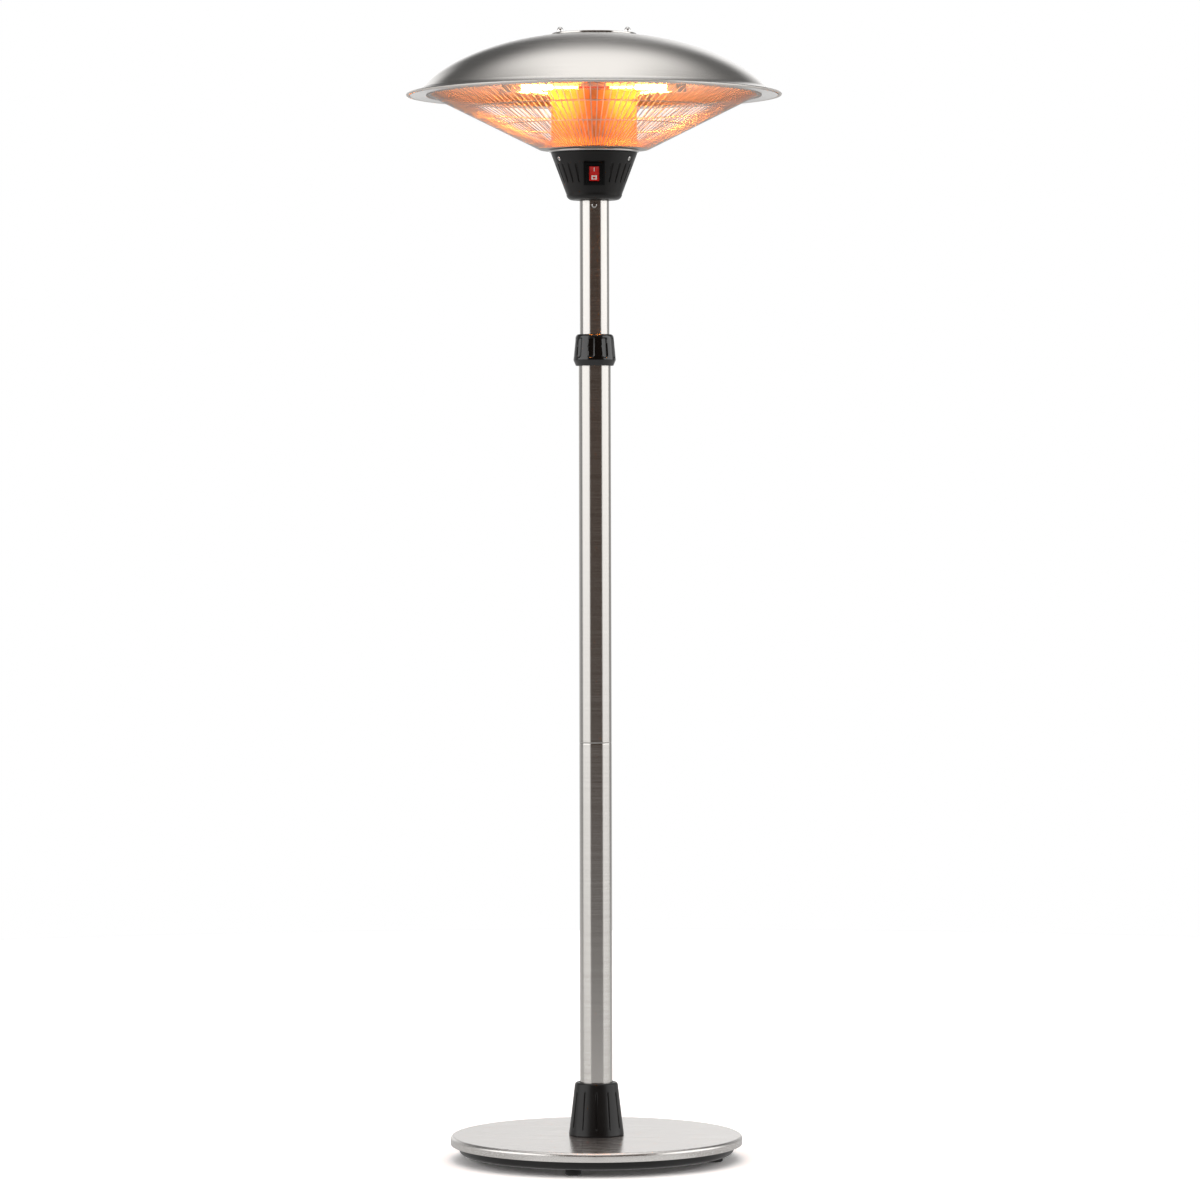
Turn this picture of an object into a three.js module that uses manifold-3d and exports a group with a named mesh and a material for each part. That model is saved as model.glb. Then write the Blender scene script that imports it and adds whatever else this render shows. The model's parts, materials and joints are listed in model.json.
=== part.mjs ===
// Standing electric infrared patio heater: weighted base, telescopic pole with a lock nut,
// and a head with three lamps under a spun hood, closed below by a wire guard.
// Millimetres, +Z up, the front with its switch faces -Y, origin on the floor under the pole's axis.
import * as THREE from 'three';
import { mergeVertices } from 'three/addons/utils/BufferGeometryUtils.js';
import Module from 'manifold-3d';

// ---------------------------------------------------------------- clearances
const SEAT_GAP = 0.3; // between a piece and what it rests on or is held in
const RUNNING_GAP = 0.3; // between pieces that move on each other
const TELESCOPE_GAP = 1.2; // between the outer pole's bore and the mast tube
const MERGE_TOLERANCE = 1e-4;

// ---------------------------------------------------------------- base
const FOOT_COUNT = 4;
const FOOT_RADIUS = 12.5;
const FOOT_HEIGHT = 10;
const FOOT_CHAMFER = 2;
const FOOT_RIM_INSET = 27; // foot centre, in from the tray's edge
const FOOT_TURN = THREE.MathUtils.degToRad(-11); // first foot, from the front
const FOOT_STEM_RADIUS = 4;
const TRAY_WALL = 2.5;
const TRAY_INSET = 13; // tray edge, in from the cover's edge
const WEIGHT_THICKNESS = 23.2;
const COVER_RADIUS = 225;
const COVER_WALL = 1.2;
const COVER_DEPTH = 13.7;
const COVER_EDGE_RADIUS = 5;

// ---------------------------------------------------------------- pole and its foot
const POLE_RADIUS = 25;
const POLE_WALL = 0.8;
const LOWER_POLE_LENGTH = 600;
const UPPER_POLE_LENGTH = 601;
const JOINT_SLEEVE_LENGTH = 90;
const JOINT_SLEEVE_WALL = 2;
const FLANGE_MARGIN = 12; // flange edge beyond the pole
const FLANGE_THICKNESS = 4;
const STUB_HEIGHT = 60;
const STUB_WALL = 2.5;
const FLANGE_BOLT_COUNT = 3;
const FLANGE_BOLT_RADIUS = 3;
const FLANGE_BOLT_HEAD_RADIUS = 4.6;
const FLANGE_BOLT_HEAD_HEIGHT = 3.5;
const FLANGE_BOLT_GRIP = 14; // depth of the bolt in the weight

// ---------------------------------------------------------------- collar round the pole's foot
const COLLAR_HEIGHT = 81;
const COLLAR_TOP_MARGIN = 7.8; // beyond the pole
const COLLAR_FOOT_MARGIN = 17.5; // beyond the pole
const COLLAR_WALL = 3;
const COLLAR_MOUTH_GAP = 1.5; // open ring between the collar's mouth and the pole
const COLLAR_EDGE = 1.5;
const COLLAR_GROOVE_COUNT = 12;
const COLLAR_GROOVE_WIDTH = 2.6;
const COLLAR_GROOVE_DEPTH = 1.2;
const COLLAR_GROOVE_FOOT = 11; // groove's lower end above the collar's foot
const COLLAR_GROOVE_TOP = 13; // groove's upper end below the collar's top
const GROMMET_HEIGHT = 20; // cable inlet above the cover
const GROMMET_BORE = 4;
const GROMMET_WALL = 2;
const GROMMET_FLANGE = 3; // flange beyond the neck
const CABLE_HOLE_RADIUS = 6;

// ---------------------------------------------------------------- clamp at the top of the outer pole
const CLAMP_WALL = 1.9;
const CLAMP_GRIP = 17; // clamp bush below the pole's top
const CLAMP_TAPER = 0.9;
const CLAMP_THREAD_HEIGHT = 8; // straight part above the pole's top
const CLAMP_SLIT = 1.6;
const NUT_HEIGHT = 48.6;
const NUT_OVERLAP = 19.4; // nut below the pole's top
const NUT_FOOT_WALL = 1.6;
const NUT_WAIST_WALL = 5.4;
const NUT_WAIST_HEIGHT = 9;
const NUT_TOP_WALL = 2.1;
const NUT_LIP = 4.5;
const NUT_SHOULDER = 5;
const NUT_SHOULDER_WIDTH = 3.1;
const NUT_MOUTH_GAP = 0.9;
const NUT_FLUTE_COUNT = 9;
const NUT_FLUTE_TURN = THREE.MathUtils.degToRad(-9);
const NUT_FLUTE_RADIUS = 4.8;
const NUT_FLUTE_LENGTH = 32;
const NUT_FLUTE_DEPTH = 1.9;
const NUT_FLUTE_FOOT = 12; // flute's lower end above the nut's foot

// ---------------------------------------------------------------- mast
const TUBE_WALL = 1.2;
const TUBE_LENGTH = 580;
const MAST_EXPOSED = 207.1; // tube seen between the nut and the housing
const GUIDE_HEIGHT = 15;
const GUIDE_PLUG_HEIGHT = 20;
const GUIDE_BORE = 16;
const TUBE_SCREW_DROP = 8.7; // below the tube's top
const TUBE_SCREW_RADIUS = 2;
const TUBE_SCREW_HEAD_RADIUS = 4;
const TUBE_SCREW_HEAD_HEIGHT = 2;
const TUBE_SCREW_LENGTH = 8;
const NECK_DEPTH = 30; // neck piece inside the tube
const NECK_WALL = 2.5;
const NECK_FLANGE_MARGIN = 9;
const NECK_FLANGE_THICKNESS = 3;

// ---------------------------------------------------------------- switch housing
const HOUSING_HEIGHT = 73;
const HOUSING_FOOT_MARGIN = 20; // foot of the cone beyond the mast tube
const HOUSING_LIP_MARGIN = 1; // top of the cone beyond the drum
const HOUSING_CORNER = 9;
const HOUSING_WALL = 3;
const FLUTE_COUNT = 24;
const FLUTE_FIRST = THREE.MathUtils.degToRad(28); // from the front, leaving the switch clear
const FLUTE_FOOT = 25; // above the housing's underside
const FLUTE_LENGTH = 32;
const FLUTE_TOP_WIDTH = 5;
const FLUTE_FOOT_WIDTH = 2;
const FLUTE_DEPTH = 1.3;
const HOUSING_SCREW_COUNT = 3;
const HOUSING_SCREW_FIRST = THREE.MathUtils.degToRad(60);
const HOUSING_SCREW_DROP = 11; // below the housing's top
const HOUSING_SCREW_RADIUS = 1.8;
const HOUSING_SCREW_HEAD_RADIUS = 3.8;
const HOUSING_SCREW_HEAD_HEIGHT = 1.8;
const HOUSING_SCREW_LENGTH = 7;
const RECESS_RADIUS = 5;
const RECESS_DEPTH = 1.5;

// ---------------------------------------------------------------- rocker switch
const SWITCH_HEIGHT = 38; // above the housing's underside
const BEZEL_WIDTH = 33;
const BEZEL_LENGTH = 37;
const BEZEL_RIM = 4;
const BEZEL_THICKNESS = 2;
const PAD_HEIGHT = 0.8; // flat pad proud of the cone
const PAD_ROOT = 7;
const SWITCH_DEPTH = 20;
const SWITCH_PROUD = 0.5; // switch frame above the bezel
const ROCKER_WIDTH = 15.3;
const ROCKER_REACH = 11.7; // pivot to either end
const ROCKER_SIDE_GAP = 0.4;
const ROCKER_END_GAP = 0.6;
const ROCKER_PIVOT_DEPTH = 1.2;
const ROCKER_CENTRE_RISE = 2.4;
const ROCKER_UNDERSIDE = 5;
const ROCKER_TILT = THREE.MathUtils.degToRad(10); // either way from level
const ROCKER_END_ANGLE = THREE.MathUtils.degToRad(22); // rounded ends, either way from the pivot's level
const ROCKER_PIN_RADIUS = 1.2;
const ROCKER_PIN_LENGTH = 1.4;
const ROCKER_POCKET_DEPTH = 9;

// ---------------------------------------------------------------- inside the housing
const HEAD_PLATE_THICKNESS = 1.5;
const HEAD_PLATE_MARGIN = 1; // plate edge inside the housing's top edge
const WIRE_HOLE_RADIUS = 12;
const TAB_WIDTH = 12;
const TAB_THICKNESS = 1.5;
const TAB_LENGTH = 17;
const TERMINAL_BLOCK = new THREE.Vector3(34, 16, 16);
const TERMINAL_BLOCK_BACK = 24; // behind the axis
const TIP_SWITCH = new THREE.Vector3(16, 22, 20);
const TIP_SWITCH_SIDE = 28; // left of the axis

// ---------------------------------------------------------------- head: guard, drum, lamps, hood
const TRIM_HEIGHT = 2;
const TRIM_MARGIN = 3.8; // trim ring beyond the drum
const DISC_INSET = 9; // guard's inner edge inside the drum
const DRUM_RADIUS = 66;
const DRUM_HEIGHT = 90;
const DRUM_LIP_FLARE = 6;
const DRUM_LIP_HEIGHT = 20;
const DRUM_WALL = 1;
const FOOT_RING_FLARE = 10;
const FOOT_RING_HEIGHT = 13;
const FOOT_RING_WALL = 1;
const GUARD_THICKNESS = 2;
const GUARD_DISC_MARGIN = 18; // flat disc beyond the drum
const GUARD_WIRE_COUNT = 40;
const GUARD_WIRE_WIDTH = 2.2;
const GUARD_RING_WIDTH = 3;
const GUARD_RING_STEPS = [0.4, 0.71]; // middle rings, as shares of the way out
const GUARD_RIM_INSET = 15; // guard's outer band inside the hood's neck
const GUARD_RIM_EDGE = 5; // guard's outer edge inside the hood's rim
const GUARD_RIM_RISE = 1; // outer band, from its edge in to the wires
const REFLECTOR_WALL = 1;
const REFLECTOR_SEAT_MARGIN = 2; // flat seat beyond the drum's lip
const REFLECTOR_STEP = 10; // rise from the seat to the ceiling
const REFLECTOR_STEP_WIDTH = 14;
const REFLECTOR_MARGIN = 15; // ceiling beyond the lamps' corners
const REFLECTOR_RIM = 7;
const LAMP_RADIUS = 4;
const LAMP_GAP = 10; // lamp axis beyond the drum's lip
const LAMP_DROP = 12; // lamp axis below the ceiling
const LAMP_CAP_RADIUS = 7;
const LAMP_CAP_LENGTH = 15;
const LAMP_CAP_SOCKET = 7;
const LAMP_CORNER_GAP = 2;
const BRACKET_THICKNESS = 1.5;
const BRACKET_WIDTH = 15;
const BRACKET_TAB = 14;
const ROD_INSET = 14; // long bolts, in from the drum
const ROD_RADIUS = 3;
const ROD_HEAD_RADIUS = 5.5;
const ROD_HEAD_HEIGHT = 4;
const SPACER_WALL = 2.5;
const SPACER_LENGTH = 81.4;
const HOOD_CURVE_RADIUS = 288; // half-width of the hood's elliptical curve
const HOOD_CURVE_RISE = 138;
const HOOD_CROWN_RADIUS = 66;
const HOOD_DEPTH = 83.5; // crown to the flange's root
const HOOD_WALL = 1;
const HOOD_FLANGE_WIDTH = 20.4;
const HOOD_FLANGE_DROP = 7.9;
const HOOD_BEAD_RADIUS = 1.8;
const HOOD_BEAD_START = THREE.MathUtils.degToRad(-145); // where the rolled edge leaves the flange
const HOOD_BEAD_END = THREE.MathUtils.degToRad(125);
const TOP_DISC_THICKNESS = 2.7;
const TOP_DISC_EDGE = 1.2;
const CAP_NUT_RADIUS = 6;
const CAP_NUT_HEX_HEIGHT = 5;
const CAP_NUT_HEIGHT = 10.2;
const CAP_NUT_THREAD = 5.6;

// ---------------------------------------------------------------- facets
const LARGE_SEGMENTS = 44;
const BASE_SEGMENTS = 32;
const TUBE_SEGMENTS = 28;
const MEDIUM_SEGMENTS = 16;
const SMALL_SEGMENTS = 10;
const CAPSULE_SEGMENTS = 8;
const CAPSULE_END_STEPS = 1;
const HEX = 6;
const ARC_STEPS = 3;

// ---------------------------------------------------------------- worked-out sizes
const trayRadius = COVER_RADIUS - TRAY_INSET;
const footPitchRadius = trayRadius - FOOT_RIM_INSET;
const trayBottom = FOOT_HEIGHT + SEAT_GAP;
const trayFloorTop = trayBottom + TRAY_WALL;
const weightBottom = trayFloorTop + SEAT_GAP;
const weightTop = weightBottom + WEIGHT_THICKNESS;
const coverUnderside = weightTop + SEAT_GAP;
const coverTop = coverUnderside + COVER_WALL;

const poleBore = POLE_RADIUS - POLE_WALL;
const stubRadius = poleBore - SEAT_GAP;
const flangeRadius = POLE_RADIUS + FLANGE_MARGIN;
const flangeBottom = coverTop + SEAT_GAP;
const flangeTop = flangeBottom + FLANGE_THICKNESS;
const flangeBoltPitch = POLE_RADIUS + FLANGE_MARGIN / 2;
const lowerPoleBottom = flangeTop + SEAT_GAP;
const lowerPoleTop = lowerPoleBottom + LOWER_POLE_LENGTH;
const upperPoleBottom = lowerPoleTop + SEAT_GAP;
const upperPoleTop = upperPoleBottom + UPPER_POLE_LENGTH;

const collarBottom = coverTop + SEAT_GAP;
const collarTop = collarBottom + COLLAR_HEIGHT;
const collarTopRadius = POLE_RADIUS + COLLAR_TOP_MARGIN;
const collarFootRadius = POLE_RADIUS + COLLAR_FOOT_MARGIN;
const collarSlope = Math.atan2(collarFootRadius - collarTopRadius, COLLAR_HEIGHT);
const grommetZ = coverTop + GROMMET_HEIGHT;
const grommetNeckRadius = GROMMET_BORE + GROMMET_WALL;

const tubeRadius = poleBore - TELESCOPE_GAP;
const tubeBore = tubeRadius - TUBE_WALL;
const clampBore = POLE_RADIUS + SEAT_GAP;
const clampRadius = clampBore + CLAMP_WALL;
const nutBore = clampRadius + RUNNING_GAP;
const nutBottom = upperPoleTop - NUT_OVERLAP;
const nutTop = nutBottom + NUT_HEIGHT;
const nutLipBottom = nutTop - NUT_LIP;
const clampTop = nutLipBottom - RUNNING_GAP;
const nutMouth = tubeRadius + NUT_MOUTH_GAP;

const housingBottom = nutTop + MAST_EXPOSED;
const housingTop = housingBottom + HOUSING_HEIGHT;
const coneBottom = housingBottom + HOUSING_CORNER;
const coneFootRadius = tubeRadius + HOUSING_FOOT_MARGIN;
const coneTopRadius = DRUM_RADIUS + HOUSING_LIP_MARGIN;
const coneSlope = Math.atan2(coneTopRadius - coneFootRadius, housingTop - coneBottom);
const coneWall = HOUSING_WALL / Math.cos(coneSlope);
const tubeTop = housingBottom - SEAT_GAP;
const tubeBottom = tubeTop - TUBE_LENGTH;
const tubeScrewZ = tubeTop - TUBE_SCREW_DROP;
const neckRadius = tubeBore - SEAT_GAP;
const neckFlangeBottom = housingBottom + HOUSING_WALL + SEAT_GAP;
const neckFlangeTop = neckFlangeBottom + NECK_FLANGE_THICKNESS;

const headPlateBottom = housingTop + SEAT_GAP;
const headPlateTop = headPlateBottom + HEAD_PLATE_THICKNESS;
const trimBottom = headPlateTop + SEAT_GAP;
const trimTop = trimBottom + TRIM_HEIGHT;
const discInnerRadius = DRUM_RADIUS - DISC_INSET;
const discMiddle = trimTop + SEAT_GAP + GUARD_THICKNESS / 2;
const drumBottom = discMiddle + GUARD_THICKNESS / 2 + SEAT_GAP;
const drumTop = drumBottom + DRUM_HEIGHT;
const drumLipRadius = DRUM_RADIUS + DRUM_LIP_FLARE;
const reflectorSeat = drumTop + SEAT_GAP;
const reflectorCeiling = reflectorSeat + REFLECTOR_STEP;
const lampDistance = drumLipRadius + LAMP_GAP;
const lampHeight = reflectorCeiling - LAMP_DROP;
const lampHalfSide = lampDistance * Math.tan(Math.PI / 3);
const capCornerGap = 2 * LAMP_CAP_RADIUS + LAMP_CORNER_GAP;
const capOuterEnd = lampHalfSide - capCornerGap;
const capInnerEnd = capOuterEnd - LAMP_CAP_LENGTH;
const reflectorRadius = 2 * lampDistance + REFLECTOR_MARGIN;
const rodX = DRUM_RADIUS - ROD_INSET;
const spacerBottom = reflectorSeat + REFLECTOR_WALL + SEAT_GAP;
const crownUnderside = spacerBottom + SPACER_LENGTH + SEAT_GAP;
const crownTop = crownUnderside + HOOD_WALL;
const crownAngle = Math.acos(HOOD_CROWN_RADIUS / HOOD_CURVE_RADIUS);
const curveCentre = crownTop - HOOD_CURVE_RISE * Math.sin(crownAngle);
const flangeAngle = Math.asin((crownTop - HOOD_DEPTH - curveCentre) / HOOD_CURVE_RISE);
const hoodNeckRadius = HOOD_CURVE_RADIUS * Math.cos(flangeAngle);
const beadRadius = hoodNeckRadius + HOOD_FLANGE_WIDTH;
const beadHeight = crownTop - HOOD_DEPTH - HOOD_FLANGE_DROP;
const hoodRimRadius = beadRadius + HOOD_BEAD_RADIUS;
const topDiscBottom = crownTop + SEAT_GAP;
const topDiscTop = topDiscBottom + TOP_DISC_THICKNESS;
const capNutBottom = topDiscTop + SEAT_GAP;

// ---------------------------------------------------------------- materials
function finish(color, roughness, metalness) {
  return new THREE.MeshStandardMaterial({ color, roughness, metalness });
}
const brushedSteel = finish(0xbdb9b5, 0.32, 1);
const polishedSteel = finish(0xd9d6d2, 0.08, 1);
const chrome = finish(0xe3e3e3, 0.08, 1);
const zincSteel = finish(0x9a9a98, 0.4, 1);
const satinBlack = finish(0x2b2a29, 0.45, 0);
const glossBlack = finish(0x1c1b1b, 0.15, 0);
const rubber = finish(0x161616, 0.8, 0);
const cement = finish(0x8d8a85, 0.9, 0);
const nylon = finish(0xd8d4c8, 0.5, 0);
const ceramic = finish(0xe9e4da, 0.5, 0);
const lampGlass = finish(0xffa040, 0.1, 0);
const redLens = finish(0xd3150f, 0.25, 0);

// ---------------------------------------------------------------- shape tools
const wasm = await Module();
wasm.setup();

function toSolid(geometry) {
  const bare = geometry.clone();
  bare.deleteAttribute('normal');
  bare.deleteAttribute('uv');
  const merged = mergeVertices(bare, MERGE_TOLERANCE);
  const vertProperties = new Float32Array(merged.attributes.position.array);
  const triVerts = new Uint32Array(merged.index.array);
  return new wasm.Manifold(new wasm.Mesh({ numProp: 3, vertProperties, triVerts }));
}

function toGeometry(solid) {
  const mesh = solid.getMesh();
  const geometry = new THREE.BufferGeometry();
  geometry.setAttribute('position', new THREE.BufferAttribute(mesh.vertProperties, 3));
  geometry.setIndex(new THREE.BufferAttribute(mesh.triVerts, 1));
  geometry.computeVertexNormals();
  return geometry;
}

function join(...geometries) {
  return toGeometry(geometries.map(toSolid).reduce((whole, next) => whole.add(next)));
}

function cut(geometry, cutters) {
  const whole = toSolid(geometry);
  return toGeometry(cutters.map(toSolid).reduce((left, cutter) => left.subtract(cutter), whole));
}

// A body of revolution about Z. Each profile point is [radius, height], in order up its outer side.
function turned(profile, segments) {
  const points = profile.map(([radius, height]) => new THREE.Vector2(radius, height));
  return new THREE.LatheGeometry(points, segments).rotateX(Math.PI / 2);
}

// A hollow body of revolution: the same, with the profile closed on itself.
function turnedRing(profile, segments) {
  return turned([...profile, profile[0]], segments);
}

function pipe(outer, inner, bottom, top, segments) {
  return turnedRing([[outer, bottom], [outer, top], [inner, top], [inner, bottom]], segments);
}

function rod(radius, bottom, top, segments = SMALL_SEGMENTS) {
  const geometry = new THREE.CylinderGeometry(radius, radius, top - bottom, segments).rotateX(Math.PI / 2);
  return geometry.translate(0, 0, (bottom + top) / 2);
}

function capsule(radius, straight) {
  return new THREE.CapsuleGeometry(radius, straight, CAPSULE_END_STEPS, CAPSULE_SEGMENTS);
}

function block(width, depth, height, x, y, z) {
  return new THREE.BoxGeometry(width, depth, height).translate(x, y, z);
}

// Points of an elliptical arc in a profile, both ends included.
function arc(centre, width, height, from, to, steps = ARC_STEPS) {
  const curve = new THREE.EllipseCurve(centre[0], centre[1], width, height, from, to, to < from);
  return curve.getPoints(steps).map((point) => [point.x, point.y]);
}

// Turns a shape about Z, from the front towards +X.
function turn(geometry, angle) {
  return geometry.rotateZ(angle);
}

// Sets a shape drawn along +Z, out of the wall, on a cone that widens upwards (slope > 0) or downwards.
function onCone(geometry, radius, height, slope, angle = 0) {
  geometry.rotateX(Math.PI / 2 + slope).translate(0, -radius, height);
  return turn(geometry, angle);
}

function addPiece(parent, name, geometry, material) {
  const piece = new THREE.Mesh(geometry, material);
  piece.name = name;
  parent.add(piece);
}

// ---------------------------------------------------------------- base
function footPlace(geometry, index) {
  return turn(geometry.translate(0, -footPitchRadius, 0), FOOT_TURN + (index * 2 * Math.PI) / FOOT_COUNT);
}

function footShape() {
  const profile = [
    [0, 0],
    [FOOT_RADIUS - FOOT_CHAMFER, 0],
    [FOOT_RADIUS, FOOT_CHAMFER],
    [FOOT_RADIUS, FOOT_HEIGHT],
    [FOOT_STEM_RADIUS, FOOT_HEIGHT],
    [FOOT_STEM_RADIUS, trayFloorTop],
    [0, trayFloorTop],
  ];
  return turned(profile, MEDIUM_SEGMENTS);
}

function trayShape() {
  const profile = [
    [0, trayBottom],
    [trayRadius - TRAY_WALL, trayBottom],
    [trayRadius, trayBottom + TRAY_WALL],
    [trayRadius, weightTop],
    [trayRadius - TRAY_WALL, weightTop],
    [trayRadius - TRAY_WALL, trayFloorTop],
    [0, trayFloorTop],
  ];
  const holes = [];
  for (let i = 0; i < FOOT_COUNT; i++) {
    const hole = rod(FOOT_STEM_RADIUS + SEAT_GAP, trayBottom - TRAY_WALL, trayFloorTop + TRAY_WALL);
    holes.push(footPlace(hole, i));
  }
  return cut(turned(profile, BASE_SEGMENTS), holes);
}

function boltPlace(geometry, index) {
  return turn(geometry.translate(0, -flangeBoltPitch, 0), (index * 2 * Math.PI) / FLANGE_BOLT_COUNT);
}

// The holes that the flange bolts pass through, from inside the weight to above the flange.
function boltHoles() {
  const holes = [];
  const depth = coverUnderside - FLANGE_BOLT_GRIP - SEAT_GAP;
  for (let i = 0; i < FLANGE_BOLT_COUNT; i++) {
    holes.push(boltPlace(rod(FLANGE_BOLT_RADIUS + SEAT_GAP, depth, flangeTop + FLANGE_THICKNESS), i));
  }
  return holes;
}

function weightShape() {
  const radius = trayRadius - TRAY_WALL - SEAT_GAP;
  return cut(rod(radius, weightBottom, weightTop, BASE_SEGMENTS), boltHoles());
}

function coverShape() {
  const corner = [COVER_RADIUS - COVER_EDGE_RADIUS, coverTop - COVER_EDGE_RADIUS];
  const innerEdge = COVER_EDGE_RADIUS - COVER_WALL;
  const profile = [
    [0, coverUnderside],
    ...arc(corner, innerEdge, innerEdge, Math.PI / 2, 0),
    [COVER_RADIUS - COVER_WALL, coverTop - COVER_DEPTH],
    [COVER_RADIUS, coverTop - COVER_DEPTH],
    ...arc(corner, COVER_EDGE_RADIUS, COVER_EDGE_RADIUS, 0, Math.PI / 2),
    [0, coverTop],
  ];
  return cut(turned(profile, LARGE_SEGMENTS), boltHoles());
}

function buildBase(heater) {
  for (let i = 0; i < FOOT_COUNT; i++) {
    addPiece(heater, `foot_${i + 1}`, footPlace(footShape(), i), rubber);
  }
  addPiece(heater, 'base_tray', trayShape(), satinBlack);
  addPiece(heater, 'base_weight', weightShape(), cement);
  addPiece(heater, 'base_cover', coverShape(), brushedSteel);
}

// ---------------------------------------------------------------- pole foot and collar
// The way of the mains lead from the inlet into the pole, at the back.
function cableHole() {
  const reach = POLE_RADIUS + POLE_WALL;
  return rod(CABLE_HOLE_RADIUS, 0, reach).rotateX(-Math.PI / 2).translate(0, 0, grommetZ);
}

function flangeShape() {
  const profile = [
    [flangeRadius, flangeBottom],
    [flangeRadius, flangeTop],
    [stubRadius, flangeTop],
    [stubRadius, flangeTop + STUB_HEIGHT],
    [stubRadius - STUB_WALL, flangeTop + STUB_HEIGHT],
    [stubRadius - STUB_WALL, flangeBottom],
  ];
  return cut(turnedRing(profile, TUBE_SEGMENTS), [...boltHoles(), cableHole()]);
}

function flangeBoltShape() {
  const headBottom = flangeTop + SEAT_GAP;
  const headTop = headBottom + FLANGE_BOLT_HEAD_HEIGHT;
  const head = rod(FLANGE_BOLT_HEAD_RADIUS, headBottom, headTop, HEX);
  return join(head, rod(FLANGE_BOLT_RADIUS, coverUnderside - FLANGE_BOLT_GRIP, headTop));
}

function collarRadiusAt(z) {
  return collarTopRadius + (collarTop - z) * Math.tan(collarSlope);
}

function collarGroove(angle) {
  const bottom = collarBottom + COLLAR_GROOVE_FOOT;
  const top = collarTop - COLLAR_GROOVE_TOP;
  const middle = (bottom + top) / 2;
  const length = (top - bottom) / Math.cos(collarSlope);
  const groove = block(COLLAR_GROOVE_WIDTH, length, 2 * COLLAR_GROOVE_DEPTH, 0, 0, 0);
  return onCone(groove, collarRadiusAt(middle), middle, -collarSlope, angle);
}

// The flat boss at the back of the collar that holds the cable grommet.
function collarBossFaces() {
  const outer = collarRadiusAt(grommetZ) + COLLAR_EDGE;
  return { outer, inner: outer - COLLAR_WALL - 2 * COLLAR_EDGE };
}

function collarShape() {
  const mouth = POLE_RADIUS + COLLAR_MOUTH_GAP;
  const lipBottom = collarTop - COLLAR_WALL;
  const body = [
    [collarFootRadius - COLLAR_EDGE, collarBottom],
    [collarFootRadius, collarBottom + COLLAR_EDGE],
    [collarRadiusAt(collarTop - COLLAR_EDGE), collarTop - COLLAR_EDGE],
    [collarTopRadius - COLLAR_EDGE, collarTop],
    [mouth, collarTop],
    [mouth, lipBottom],
    [collarRadiusAt(lipBottom) - COLLAR_WALL, lipBottom],
    [collarFootRadius - COLLAR_WALL, collarBottom],
  ];
  const faces = collarBossFaces();
  const bossRadius = grommetNeckRadius + GROMMET_FLANGE + COLLAR_EDGE;
  const boss = rod(bossRadius, faces.inner, faces.outer, MEDIUM_SEGMENTS).rotateX(-Math.PI / 2);
  const inlet = rod(grommetNeckRadius + SEAT_GAP, 0, 2 * faces.outer).rotateX(-Math.PI / 2);
  const cutters = [inlet.translate(0, 0, grommetZ)];
  for (let i = 0; i < COLLAR_GROOVE_COUNT; i++) {
    const behindInlet = 2 * i === COLLAR_GROOVE_COUNT;
    if (!behindInlet) {
      cutters.push(collarGroove((i * 2 * Math.PI) / COLLAR_GROOVE_COUNT));
    }
  }
  return cut(join(turnedRing(body, BASE_SEGMENTS), boss.translate(0, 0, grommetZ)), cutters);
}

function grommetShape() {
  const faces = collarBossFaces();
  const flange = grommetNeckRadius + GROMMET_FLANGE;
  const inside = faces.inner - SEAT_GAP;
  const outside = faces.outer + SEAT_GAP;
  const profile = [
    [flange, inside - GROMMET_WALL],
    [flange, inside],
    [grommetNeckRadius, inside],
    [grommetNeckRadius, outside],
    [flange, outside],
    [flange, outside + GROMMET_WALL],
    [GROMMET_BORE, outside + GROMMET_WALL],
    [GROMMET_BORE, inside - GROMMET_WALL],
  ];
  return turnedRing(profile, MEDIUM_SEGMENTS).rotateX(-Math.PI / 2).translate(0, 0, grommetZ);
}

function buildPoleFoot(heater) {
  addPiece(heater, 'pole_flange', flangeShape(), zincSteel);
  for (let i = 0; i < FLANGE_BOLT_COUNT; i++) {
    addPiece(heater, `flange_bolt_${i + 1}`, boltPlace(flangeBoltShape(), i), zincSteel);
  }
  addPiece(heater, 'base_collar', collarShape(), satinBlack);
  addPiece(heater, 'cable_grommet', grommetShape(), rubber);
}

// ---------------------------------------------------------------- outer pole and clamp
function clampShape() {
  const grip = tubeRadius + RUNNING_GAP;
  const shoulder = upperPoleTop + SEAT_GAP;
  const profile = [
    [clampRadius, upperPoleTop - CLAMP_GRIP],
    [clampRadius, upperPoleTop + CLAMP_THREAD_HEIGHT],
    [clampRadius - CLAMP_TAPER, clampTop],
    [grip, clampTop],
    [grip, shoulder],
    [clampBore, shoulder],
    [clampBore, upperPoleTop - CLAMP_GRIP],
  ];
  const slitBottom = upperPoleTop + CLAMP_THREAD_HEIGHT;
  const slitHeight = 2 * (clampTop - slitBottom);
  const slits = [
    block(CLAMP_SLIT, 3 * clampRadius, slitHeight, 0, 0, clampTop),
    block(3 * clampRadius, CLAMP_SLIT, slitHeight, 0, 0, clampTop),
  ];
  return cut(turnedRing(profile, TUBE_SEGMENTS), slits);
}

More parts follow.
